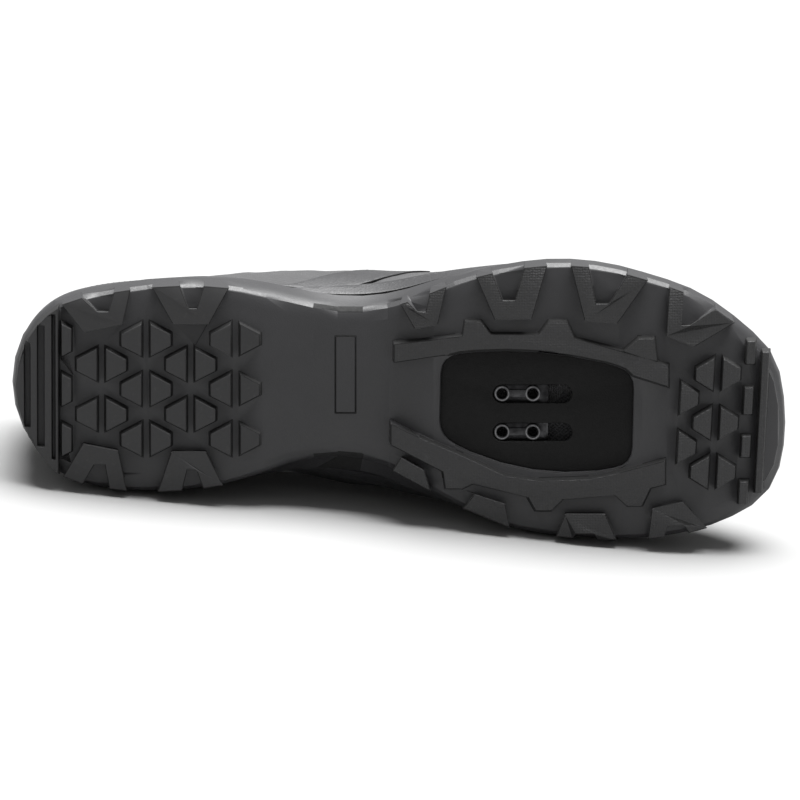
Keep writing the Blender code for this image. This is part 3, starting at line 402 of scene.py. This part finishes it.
finishes = {name: clothFinish(name) for name in cloths}
finishes.update({name: pebbledFinish(skin) for name, skin in pebbled.items()})
finishes.update(rubber=rubberFinish(), zinc=zincFinish(), thread=threadFinish())
print("finishes made")


# Shaping helpers. Everything is worked on in the shoe's own frame and turned at the end

cadMerge = 0.00001
quadAngles = {"angle_face_threshold": math.radians(45), "angle_shape_threshold": math.radians(70)}
crispAngle = 50  # degrees above which an edge of a hard piece or film is not smoothed over
# The collar's padding is mapped round an upright line: its place along the shoe, and a radius
collarRing = {"centre": 0.055, "radius": 0.035}


def cadCopy(name):
    bm = bmesh.new()
    bm.from_mesh(frame["nodes"][name].data)
    bmesh.ops.remove_doubles(bm, verts=bm.verts, dist=cadMerge)
    bmesh.ops.transform(bm, matrix=toShoe, verts=bm.verts)
    return bm


def quadCopy(name):
    bm = cadCopy(name)
    bmesh.ops.join_triangles(bm, faces=bm.faces, **quadAngles)
    return bm


# the mesh after some modifiers, each a kind and its settings
def modified(bm, *steps):
    mesh = bpy.data.meshes.new("step")
    bm.to_mesh(mesh)
    bm.free()
    item = bpy.data.objects.new("step", mesh)
    bpy.context.scene.collection.objects.link(item)
    for kind, settings in steps:
        modifier = item.modifiers.new(kind, kind)
        for name, value in settings.items():
            setattr(modifier, name, value)
    evaluated = item.evaluated_get(bpy.context.evaluated_depsgraph_get())
    result = bmesh.new()
    result.from_mesh(evaluated.to_mesh())
    evaluated.to_mesh_clear()
    bpy.data.objects.remove(item)
    bpy.data.meshes.remove(mesh)
    return result


def smoother(levels):
    return ("SUBSURF", {"levels": levels, "render_levels": levels})


def rounded(width, segments=2, angle=40):
    limits = {"limit_method": "ANGLE", "angle_limit": math.radians(angle)}
    return ("BEVEL", {"width": width, "segments": segments, "use_clamp_overlap": True, **limits})


def thickened(thickness):
    return ("SOLIDIFY", {"thickness": thickness, "offset": 1.0})


# angle round the shoe's long axis, from the medial side over the top to the lateral side
def girth(point):
    angle = math.atan2(point.z - shoe["axisHeight"], point.y)
    return angle + 2 * math.pi if angle < -math.pi / 2 else angle


def collarWalk(point):
    return math.atan2(point.y, point.x - collarRing["centre"]) * collarRing["radius"]


def wrapMap(bm, around="x"):
    layer = bm.loops.layers.uv.new("wrap")
    for face in bm.faces:
        for loop in face.loops:
            p = loop.vert.co
            if around == "x":
                loop[layer].uv = (p.x, girth(p) * shoe["axisHeight"])
            else:
                loop[layer].uv = (collarWalk(p), p.z)


def makePiece(name, bm, finish, slot, replaces=None, body="shoe", sharp=None, around="x"):
    wrapMap(bm, around)
    bmesh.ops.transform(bm, matrix=toWorld, verts=bm.verts)
    mesh = bpy.data.meshes.new(name)
    bm.to_mesh(mesh)
    bm.free()
    mesh.shade_smooth()
    if sharp:
        mesh.set_sharp_from_angle(angle=math.radians(sharp))
    for material in finish:
        mesh.materials.append(finishes[material])
    piece = bpy.data.objects.new(name, mesh)
    bpy.context.scene.collection.objects.link(piece)
    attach(piece, body)
    if replaces:
        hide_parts(replaces)
    print("made", name, len(mesh.polygons), "faces")
    return piece


# Sole

soleEdge = {
    "merge": 0.00025,
    "flat": 0.25,  # degrees within which neighbouring faces become one
    "sharp": 27,  # degrees above which an edge is rounded
    "reach": 0.0060,  # and how far above the tread
    "round": 0.00035,
    "crisp": 20,
}
# What counts as the wall of a lug, which gets painted shade: its tilt against the tread, and the height of its
# middle
lugWall = {"tilt": 0.93, "low": 0.0004, "high": 0.0047, "step": 0.0005}
# The bare raised panel lies in here
waistPanel = {"from": 0.114, "to": 0.127, "halfWidth": 0.030}


def onWaistPanel(point):
    along = waistPanel["from"] < point.x < waistPanel["to"]
    return along and abs(point.y) < waistPanel["halfWidth"]


def treadLevel(x):
    spring = max(0, (x - shoe["toeSpringStart"]) / (shoe["length"] - shoe["toeSpringStart"]))
    bevel = max(0, 1 - x / shoe["heelBevelEnd"])
    return spring ** shoe["springPower"] * shoe["toeSpring"] + bevel * bevel * shoe["heelBevel"]


def isLugWall(face):
    middle = face.calc_center_median()
    level = treadLevel(middle.x)
    rise = treadLevel(middle.x + lugWall["step"]) - level
    across = Vector((-rise, 0, lugWall["step"])).normalized()
    between = lugWall["low"] < middle.z - level < lugWall["high"] or onWaistPanel(middle)
    return between and abs(face.normal.dot(across)) < lugWall["tilt"]


def isRoundedEdge(edge):
    middle = (edge.verts[0].co + edge.verts[1].co) / 2
    near = middle.z - treadLevel(middle.x) < soleEdge["reach"] or onWaistPanel(middle)
    limit = math.radians(soleEdge["sharp"])
    return near and len(edge.link_faces) == 2 and edge.calc_face_angle() > limit


def makeSole():
    bm = cadCopy("outsole")
    bmesh.ops.dissolve_degenerate(bm, dist=soleEdge["merge"], edges=bm.edges)
    flat = math.radians(soleEdge["flat"])
    bmesh.ops.dissolve_limit(bm, angle_limit=flat, verts=bm.verts, edges=bm.edges)
    sharp = [edge for edge in bm.edges if isRoundedEdge(edge)]
    shape = {"offset": soleEdge["round"], "offset_type": "OFFSET", "segments": 2, "profile": 0.5}
    rest = {"affect": "EDGES", "material": -1, "clamp_overlap": False}
    bmesh.ops.bevel(bm, geom=sharp, **shape, **rest)
    bm.normal_update()
    # mark the lug walls, where the rubber gets its painted shade
    wall = bm.faces.layers.float.new("wall")
    for face in bm.faces:
        face[wall] = float(isLugWall(face))
    makePiece("sole_moulding", bm, ["rubber"], "rubber", "outsole", sharp=soleEdge["crisp"])


# Hard pieces that keep their solid's form, with rounded edges: width, segments, least angle
hardPieces = {
    "cleat_plate": {
        "name": "cleat_carrier",
        "finish": "nylon",
        "slot": "nylon",
        "body": "shoe",
        "edge": (0.0004, 3, 40),
    },
    "cleat_nut_plate": {
        "name": "nut_plate",
        "finish": "zinc",
        "slot": "steel",
        "body": "cleat_nuts",
        "edge": (0.0002, 2, 50),
    },
}
hardFlat = math.radians(1)


def makeHardPiece(node, form):
    bm = cadCopy(node)
    bmesh.ops.dissolve_limit(bm, angle_limit=hardFlat, verts=bm.verts, edges=bm.edges)
    bm = modified(bm, rounded(*form["edge"]))
    belongs = {"replaces": node, "body": form["body"]}
    makePiece(form["name"], bm, [form["finish"]], form["slot"], sharp=crispAngle, **belongs)


# Saw-toothed sleeves that line the four bosses
screwThread = {
    "outer": 0.00199,
    "root": 0.97,  # share of the outer radius
    "inner": 0.00166,
    "pitch": 0.0008,
    "lead": 0.0003,
    "corners": 24,
    "crisp": 30,
}


def threadProfile(low, high):
    outer, pitch = screwThread["outer"], screwThread["pitch"]
    turns = int((high - low) / pitch)
    radii = (outer * screwThread["root"], screwThread["inner"])
    teeth = [(radii[k % 2], low + pitch * k / 2) for k in range(2 * turns + 1)]
    return [(outer, low), *teeth, (outer, low + pitch * turns)]


def makeThreads():
    levels = [(toShoe @ vert.co).z for vert in frame["nodes"]["cleat_nut_plate"].data.vertices]
    profile = threadProfile(min(levels) + screwThread["lead"], max(levels) - screwThread["lead"])
    middle = middleOf("cleat_nut_plate")
    turn = {"axis": (0, 0, 1), "angle": 2 * math.pi, "steps": screwThread["corners"]}
    sleeves = bmesh.new()
    for x in (-boss["alongX"], boss["alongX"]):
        for y in (-boss["alongY"], boss["alongY"]):
            centre = Vector((middle[0] + x, middle[1] + y, 0))
            ring = [sleeves.verts.new(centre + Vector((radius, 0, z))) for radius, z in profile]
            edges = [sleeves.edges.new(pair) for pair in zip(ring, ring[1:] + ring[:1])]
            bmesh.ops.spin(sleeves, geom=ring + edges, cent=centre, use_merge=True, **turn)
    bmesh.ops.recalc_face_normals(sleeves, faces=sleeves.faces)
    belongs = {"body": "cleat_nuts"}
    makePiece("boss_threads", sleeves, ["zinc"], "steel", sharp=screwThread["crisp"], **belongs)


makeSole()
for node, form in hardPieces.items():
    makeHardPiece(node, form)
makeThreads()


# Upper

upperForm = {
    "levels": 2,
    "inside": (0.03, 0.245),  # span along the shoe where outward is square to its axis
    "slack": ((60, 0.00025), (22, 0.0003)),  # scale and depth of each unevenness
}


def outwardFrom(point):
    low, high = upperForm["inside"]
    return point - Vector((min(max(point.x, low), high), 0, shoe["axisHeight"]))


def facesInward(face):
    return face.normal.dot(outwardFrom(face.calc_center_median())) <= 0


def outerOnly(bm):
    inner = [f for f in bm.faces if facesInward(f)]
    bmesh.ops.delete(bm, geom=inner, context="FACES")
    return bm


upperBase = modified(quadCopy("upper"), smoother(upperForm["levels"]))
upperBase.normal_update()
skinBase = outerOnly(upperBase.copy())
skinBase.normal_update()
skinTree = BVHTree.FromBMesh(skinBase)
print("upper's skin has", len(skinBase.faces), "faces")


# Creases. Each row has the start and the end, as a share of the length and degrees round the shoe,
# then how far it bows forward, its width and its depth
creases = [
    (0.742, 48, 0.742, 132, 0.010, 0.0030, 0.0011),
    (0.775, 58, 0.778, 122, 0.009, 0.0026, 0.0008),
    (0.715, 140, 0.745, 168, 0.004, 0.0030, 0.0009),
    (0.715, 40, 0.745, 14, 0.004, 0.0030, 0.0008),
    (0.400, 172, 0.470, 196, 0.000, 0.0040, 0.0010),
    (0.350, 160, 0.400, 186, 0.004, 0.0036, 0.0008),
    (0.330, 12, 0.420, -6, 0.004, 0.0042, 0.0010),
    (0.440, 26, 0.490, 2, 0.004, 0.0036, 0.0008),
    (0.285, 138, 0.330, 160, 0.006, 0.0040, 0.0010),
    (0.285, 42, 0.330, 20, 0.006, 0.0040, 0.0010),
    (0.120, 140, 0.210, 152, 0.000, 0.0045, 0.0008),
    (0.120, 40, 0.210, 28, 0.000, 0.0045, 0.0008),
]
# A trough with a lower ridge beside it, fading towards both ends
creaseForm = {"fade": 6, "least": 0.1, "ridge": 0.4, "ridgeAt": 1.9}


def creaseDepth(point):
    depth = 0.0
    here = Vector((point.x, girth(point) * shoe["axisHeight"]))
    for x0, a0, x1, a1, bow, width, deep in creases:
        start = Vector((x0 * shoe["length"], math.radians(a0) * shoe["axisHeight"]))
        along = Vector((x1 * shoe["length"], math.radians(a1) * shoe["axisHeight"])) - start
        t = min(max((here - start).dot(along) / along.length_squared, 0), 1)
        nearest = start + along * t + Vector((bow * shoe["length"] * 4 * t * (1 - t), 0))
        apart = (here - nearest).length / width
        ends = min(1, creaseForm["fade"] * t * (1 - t) + creaseForm["least"])
        ridge = creaseForm["ridge"] * math.exp(-((apart - creaseForm["ridgeAt"]) ** 2))
        depth += deep * ends * (math.exp(-apart * apart) - ridge)
    return depth


def makeUpper():
    bm = upperBase.copy()
    for vert in bm.verts:
        out = outwardFrom(vert.co).normalized()
        slack = sum(noise.noise(vert.co * scale) * depth for scale, depth in upperForm["slack"])
        vert.co -= out * (creaseDepth(vert.co) + slack)
    for face in bm.faces:
        face.material_index = int(facesInward(face))
    makePiece("upper_shell", bm, ["shell_mesh", "lining_knit"], "shell", "upper")


makeUpper()


# Films. Each row holds a share of the length, and the lower and upper edge in metres above the
# tread. Side 0 goes all round, and sides -1 and 1 are the lateral and the medial half
panels = {
    "heel_film": {
        "replaces": "heel_counter",
        "sides": (0,),
        "lift": 0.0003,
        "thick": 0.0011,
        "rows": [
            (-0.02, 0.020, 0.088),
            (0.02, 0.0300, 0.085),
            (0.10, 0.0300, 0.066),
            (0.18, 0.0295, 0.048),
            (0.250, 0.0290, 0.034),
            (0.275, 0.0290, 0.0293),
        ],
    },
    "toe_film": {
        "replaces": "forefoot_overlay",
        "sides": (0,),
        "lift": 0.0003,
        "thick": 0.0011,
        "rows": [
            (0.350, 0.0245, 0.0248),
            (0.39, 0.024, 0.028),
            (0.44, 0.0235, 0.030),
            (0.52, 0.0225, 0.032),
            (0.64, 0.0215, 0.032),
            (0.76, 0.0215, 0.034),
            (0.835, 0.0235, 0.044),
            (0.862, 0.024, 0.066),
            (0.90, 0.026, 0.10),
            (1.02, 0.030, 0.11),
        ],
    },
    "side_band": {
        "replaces": None,
        "sides": (-1, 1),
        "lift": 0.0001,
        "thick": 0.0006,
        "rows": [
            (0.345, 0.0275, 0.0277),
            (0.375, 0.0275, 0.033),
            (0.41, 0.0285, 0.043),
            (0.45, 0.032, 0.054),
            (0.50, 0.044, 0.066),
            (0.54, 0.056, 0.076),
        ],
    },
}
panelEdge = (0.00025, 2, 60)
cutMerge = 0.00005
sideNames = {0: "", -1: "_lateral", 1: "_medial"}


# what is left of a skin between the lower and upper edges of some rows
def trimmed(bm, rows):
    rows = [(x * shoe["length"], low, high) for x, low, high in rows]
    for k, (x, _, _) in enumerate(rows):
        geometry = bm.verts[:] + bm.edges[:] + bm.faces[:]
        ends = {"clear_inner": k == 0, "clear_outer": k == len(rows) - 1}
        bmesh.ops.bisect_plane(bm, geom=geometry, plane_co=(x, 0, 0), plane_no=(1, 0, 0), **ends)
    for (x0, low0, high0), (x1, low1, high1) in zip(rows, rows[1:]):
        for start, end in ((low0, low1), (high0, high1)):
            column = [f for f in bm.faces if x0 < f.calc_center_median().x < x1]
            edges = {e for f in column for e in f.edges}
            verts = {v for f in column for v in f.verts}
            normal = (start - end, 0, x1 - x0)
            geometry = [*verts, *edges, *column]
            bmesh.ops.bisect_plane(bm, geom=geometry, plane_co=(x0, 0, start), plane_no=normal)
        spare = []
        for face in bm.faces:
            middle = face.calc_center_median()
            if x0 < middle.x < x1:
                t = (middle.x - x0) / (x1 - x0)
                if not low0 + (low1 - low0) * t < middle.z < high0 + (high1 - high0) * t:
                    spare.append(face)
        bmesh.ops.delete(bm, geom=spare, context="FACES")
    bmesh.ops.remove_doubles(bm, verts=bm.verts, dist=cutMerge)
    return bm


# more rows, on a smooth curve through the given ones
def curved(rows, parts=4):
    out = []
    last = len(rows) - 1
    for k in range(last):
        before, start, end, after = (rows[min(max(i, 0), last)] for i in range(k - 1, k + 3))
        for step in range(parts):
            t = step / parts
            point = []
            for a, b, c, d in zip(before, start, end, after):
                square = 2 * a - 5 * b + 4 * c - d
                cube = 3 * b - a - 3 * c + d
                bend = (c - a) * t + square * t * t + cube * t ** 3
                point.append(b + bend / 2)
            out.append((start[0] + (end[0] - start[0]) * t, *point[1:]))
    return [*out, tuple(rows[-1])]


def makePanel(name, panel, side):
    bm = skinBase.copy()
    if side:
        geometry = bm.verts[:] + bm.edges[:] + bm.faces[:]
        plane = {"plane_co": (0, 0, 0), "plane_no": (0, side, 0)}
        bmesh.ops.bisect_plane(bm, geom=geometry, clear_inner=True, **plane)
    bm = trimmed(bm, curved(panel["rows"]))
    bm.normal_update()
    for vert in bm.verts:
        vert.co += vert.normal * panel["lift"]
    bm = modified(bm, thickened(panel["thick"]), rounded(*panelEdge))
    name += sideNames[side]
    makePiece(name, bm, ["film"], "overlay", panel["replaces"], sharp=crispAngle)


for name, panel in panels.items():
    for side in panel["sides"]:
        makePanel(name, panel, side)


# Padding, quilted across its length or round the collar

padding = {
    "collar_pad": {
        "name": "collar_padding",
        "slot": "padding",
        "edge": None,
        "levels": 2,
        "pitch": 0.026,
        "depth": 0.0007,
        "around": "z",
        "fill": 0.7,
    },
    "tongue": {
        "name": "tongue_padding",
        "slot": "padding",
        "edge": None,
        "levels": 2,
        "pitch": 0.014,
        "depth": 0.0010,
        "around": "x",
        "fill": 0.6,
    },
    "insole": {
        "name": "footbed",
        "slot": "foam",
        "edge": (0.0008, 2),
        "levels": 2,
        "pitch": 0.030,
        "depth": 0.0003,
        "around": "x",
        "fill": 0.9,
    },
}
quilting = {"width": 0.16, "unevenScale": 90, "unevenDepth": 0.0002}


def makePadding(node, pad):
    bm = quadCopy(node)
    if pad["edge"]:
        bm = modified(bm, rounded(*pad["edge"]))
    bm = modified(bm, smoother(pad["levels"]))
    bm.normal_update()
    moves = []
    for vert in bm.verts:
        walk = collarWalk(vert.co) if pad["around"] == "z" else vert.co.x
        apart = 1 - abs((walk / pad["pitch"]) % 1 - 0.5) * 2
        dent = pad["depth"] * math.exp(-(apart / quilting["width"]) ** 2)
        uneven = noise.noise(vert.co * quilting["unevenScale"]) * quilting["unevenDepth"]
        moves.append(vert.normal * (uneven - dent))
    for vert, move in zip(bm.verts, moves):
        vert.co += move
    piece = makePiece(pad["name"], bm, ["pad_knit"], pad["slot"], node, around=pad["around"])


for node, pad in padding.items():
    makePadding(node, pad)


# Straps

strap = {"edge": (0.0004, 2, 55), "levels": 1}
strapTrees = {}

for node in ("strap_front", "strap_middle", "strap_top"):
    bm = modified(quadCopy(node), rounded(*strap["edge"]), smoother(strap["levels"]))
    strapTrees[node] = BVHTree.FromBMesh(bm)
    makePiece(node + "_web", bm, ["strap_weave"], "strap", node)


# Eyestays: thin films along both edges of the throat, under the straps

eyestay = {
    "from": 0.452,
    "to": 0.70,
    "step": 0.0025,
    "edge": 0.0010,
    "width": 0.0080,
    "columns": 6,
    "lift": 0.0001,
    "thick": 0.0003,
}
throatSearch = {"count": 120, "step": 0.0005}
rayStart = 0.2  # a distance from the shoe's axis that is well outside it


def spotBelow(x, y):
    return skinTree.ray_cast(Vector((x, y, rayStart)), Vector((0, 0, -1)))[:2]


# how far from the middle the throat's edge lies
def throatEdge(x, side):
    for k in range(throatSearch["count"]):
        y = side * k * throatSearch["step"]
        spot = spotBelow(x, y)[0]
        if spot and spot.z > shoe["axisHeight"]:
            return y
    return None


def eyestaySpots(x, side):
    edge = throatEdge(x, side)
    spots = []
    if edge is not None:
        for k in range(eyestay["columns"]):
            across = eyestay["edge"] + eyestay["width"] * k / (eyestay["columns"] - 1)
            spot, normal = spotBelow(x, edge + side * across)
            if spot:
                spots.append(spot + normal * eyestay["lift"])
    return spots


def makeEyestay(side):
    bm = bmesh.new()
    rows = []
    x = eyestay["from"] * shoe["length"]
    while x < eyestay["to"] * shoe["length"]:
        spots = eyestaySpots(x, side)
        if len(spots) == eyestay["columns"]:
            rows.append([bm.verts.new(spot) for spot in spots])
        x += eyestay["step"]
    for first, second in zip(rows, rows[1:]):
        for k in range(eyestay["columns"] - 1):
            a, b = (k, k + 1) if side < 0 else (k + 1, k)
            bm.faces.new((first[a], first[b], second[b], second[a]))
    bm.normal_update()
    bm = modified(bm, thickened(eyestay["thick"]))
    makePiece("eyestay" + sideNames[side], bm, ["film"], "overlay", sharp=crispAngle)


for side in (-1, 1):
    makeEyestay(side)


# Stitches

stitch = {
    "pitch": 0.0027,
    "length": 0.0020,
    "width": 0.0005,
    "sunk": 0.00012,
    "inset": 0.0020,  # from the edge that is sewn
    "gap": 0.006,  # a wider one is a break in the line
}
# A row of stitches starts where the piece is this many insets wide
sewnWidth = 3
panelSewing = {"parts": 8, "from": 0.02, "to": 0.93}
strapSewing = {"degrees": range(2, 179, 3), "step": 0.0005, "facing": 0.3}
# The search for the upper's top edge: along the shoe, then downwards
topSearch = {"from": 0.012, "step": 0.0022, "count": 60, "top": 0.105, "drop": 0.001, "drops": 80}
topInset = 0.0035


# spot and slope of the skin where a level ray from one side first meets it
def sideSpot(x, z, side):
    spot, normal = skinTree.ray_cast(Vector((x, side * rayStart, z)), Vector((0, -side, 0)))[:2]
    return (spot, normal) if spot else None


# evenly spaced stitches along a line of spots, none across a break in it
def sewn(bm, line):
    halves = (stitch["length"] / 2, stitch["width"] / 2, stitch["width"] / 2, 1)
    size = Matrix.Diagonal(halves)
    walked = 0.0
    for (start, normal), (end, _) in zip(line, line[1:]):
        span = (end - start).length
        if span > stitch["gap"]:
            walked = 0.0
            continue
        while walked < span:
            along = (end - start).normalized()
            side = normal.cross(along).normalized()
            turn = Matrix((along, side, along.cross(side))).transposed().to_4x4()
            place = Matrix.Translation(start + along * walked - normal * stitch["sunk"])
            shape = {"subdivisions": 1, "radius": 1.0, "matrix": place @ turn @ size}
            bmesh.ops.create_icosphere(bm, **shape)
            walked += stitch["pitch"]
        walked -= span


def panelLine(rows, side, lift):
    line = []
    for x, low, high in curved(rows, panelSewing["parts"]):
        wide = high - low >= sewnWidth * stitch["inset"]
        if wide and panelSewing["from"] < x < panelSewing["to"]:
            spot = sideSpot(x * shoe["length"], high - stitch["inset"], side)
            if spot:
                line.append((spot[0] + spot[1] * lift, spot[1]))
    return line


# one line beside each long edge of a strap that lies between two places along the shoe
def strapLines(tree, low, high):
    lines = ([], [])
    inset = int(stitch["inset"] / strapSewing["step"])
    for degrees in strapSewing["degrees"]:
        angle = math.radians(degrees)
        out = Vector((0, math.cos(angle), math.sin(angle)))
        found = []
        x = low
        while x < high:
            start = Vector((x, 0, shoe["axisHeight"])) + out * rayStart
            spot, normal = tree.ray_cast(start, -out)[:2]
            if spot and normal.dot(out) > strapSewing["facing"]:
                found.append((spot, normal))
            x += strapSewing["step"]
        if len(found) > sewnWidth * inset:
            lines[0].append(found[inset])
            lines[1].append(found[-1 - inset])
    return lines


def topLine(side):
    line = []
    for k in range(topSearch["count"]):
        x = topSearch["from"] + k * topSearch["step"]
        for step in range(topSearch["drops"]):
            z = topSearch["top"] - step * topSearch["drop"]
            if sideSpot(x, z, side):
                spot = sideSpot(x, z - topInset, side)
                if spot:
                    line.append(spot)
                break
    return line


def makeStitches():
    bm = bmesh.new()
    for name in ("heel_film", "toe_film"):
        panel = panels[name]
        for side in (-1, 1):
            sewn(bm, panelLine(panel["rows"], side, panel["lift"] + panel["thick"]))
    for side in (-1, 1):
        sewn(bm, topLine(side))
    makePiece("upper_stitches", bm, ["thread"], "overlay")
    bm = bmesh.new()
    for node, tree in strapTrees.items():
        places = [(toShoe @ vert.co).x for vert in frame["nodes"][node].data.vertices]
        for line in strapLines(tree, min(places), max(places)):
            sewn(bm, line)
    makePiece("strap_stitches", bm, ["thread"], "strap")


makeStitches()


# Floor, light and camera

studio = {
    "floor": {"colour": (0.29, 0.29, 0.29), "roughness": 0.9, "reach": 12.0},
    "sky": {"colour": (1, 1, 1, 1), "strength": 0.34},
    "aim": (0.0, 0.0, 0.05),
}
lamps = {
    "key_light": {
        "kind": "SUN",
        "energy": 10.5,
        "angle": math.radians(50),
        "place": (0.1, 0.24, 1.25),
    },
    "front_light": {
        "kind": "AREA",
        "energy": 0.6,
        "size": 0.9,
        "place": (-0.5, -1.3, 0.9),
    },
    "side_light": {
        "kind": "AREA",
        "energy": 0.9,
        "size": 0.6,
        "place": (-1.3, -0.30, 0.40),
    },
}


def makeLamp(name, form):
    light = bpy.data.lights.new(name, form["kind"])
    light.energy = form["energy"]
    if form["kind"] == "SUN":
        light.angle = form["angle"]
    else:
        light.size = form["size"]
    lamp = bpy.data.objects.new(name, light)
    lamp.location = form["place"]
    ahead = Vector(studio["aim"]) - Vector(form["place"])
    lamp.rotation_euler = ahead.to_track_quat("-Z", "Y").to_euler()
    bpy.context.scene.collection.objects.link(lamp)


def makeStudio():
    ground = studio["floor"]
    bm = bmesh.new()
    bmesh.ops.create_grid(bm, x_segments=1, y_segments=1, size=ground["reach"])
    mesh = bpy.data.meshes.new("floor")
    bm.to_mesh(mesh)
    bm.free()
    floor = bpy.data.objects.new("floor", mesh)
    bpy.context.scene.collection.objects.link(floor)
    mesh.materials.append(Shade("studio_floor", ground["colour"], ground["roughness"]).material)
    world = bpy.data.worlds.new("studio")
    bpy.context.scene.world = world
    world.use_nodes = True
    sky = world.node_tree.nodes["Background"]
    sky.inputs["Color"].default_value = studio["sky"]["colour"]
    sky.inputs["Strength"].default_value = studio["sky"]["strength"]
    for name, form in lamps.items():
        makeLamp(name, form)
    bpy.context.scene.view_settings.view_transform = "Standard"


# The photo: 2.77 px to a millimetre, seen 8 degrees from the lateral side of square on
photo = {
    "width": 800,
    "scale": 2770.0,
    "aim": (0.1403, 0.00255, 0.0),
    "tilt": math.radians(8),
    "distance": 8.0,
    "sensor": 36,
}


def makeCamera():
    turn = toWorld.to_3x3()
    back = turn @ Vector((0, -math.sin(photo["tilt"]), -math.cos(photo["tilt"])))
    right = turn @ Vector((1, 0, 0))
    up = back.cross(right)
    place = toWorld @ Vector(photo["aim"]) + back * photo["distance"]
    data = bpy.data.cameras.new("camera")
    data.sensor_width = photo["sensor"]
    data.lens = photo["sensor"] * photo["distance"] / (photo["width"] / photo["scale"])
    camera = bpy.data.objects.new("camera", data)
    view = Matrix((right, up, back)).transposed()
    camera.matrix_world = Matrix.Translation(place) @ view.to_4x4()
    bpy.context.scene.collection.objects.link(camera)
    bpy.context.scene.camera = camera


makeStudio()
makeCamera()
print("studio and camera set")
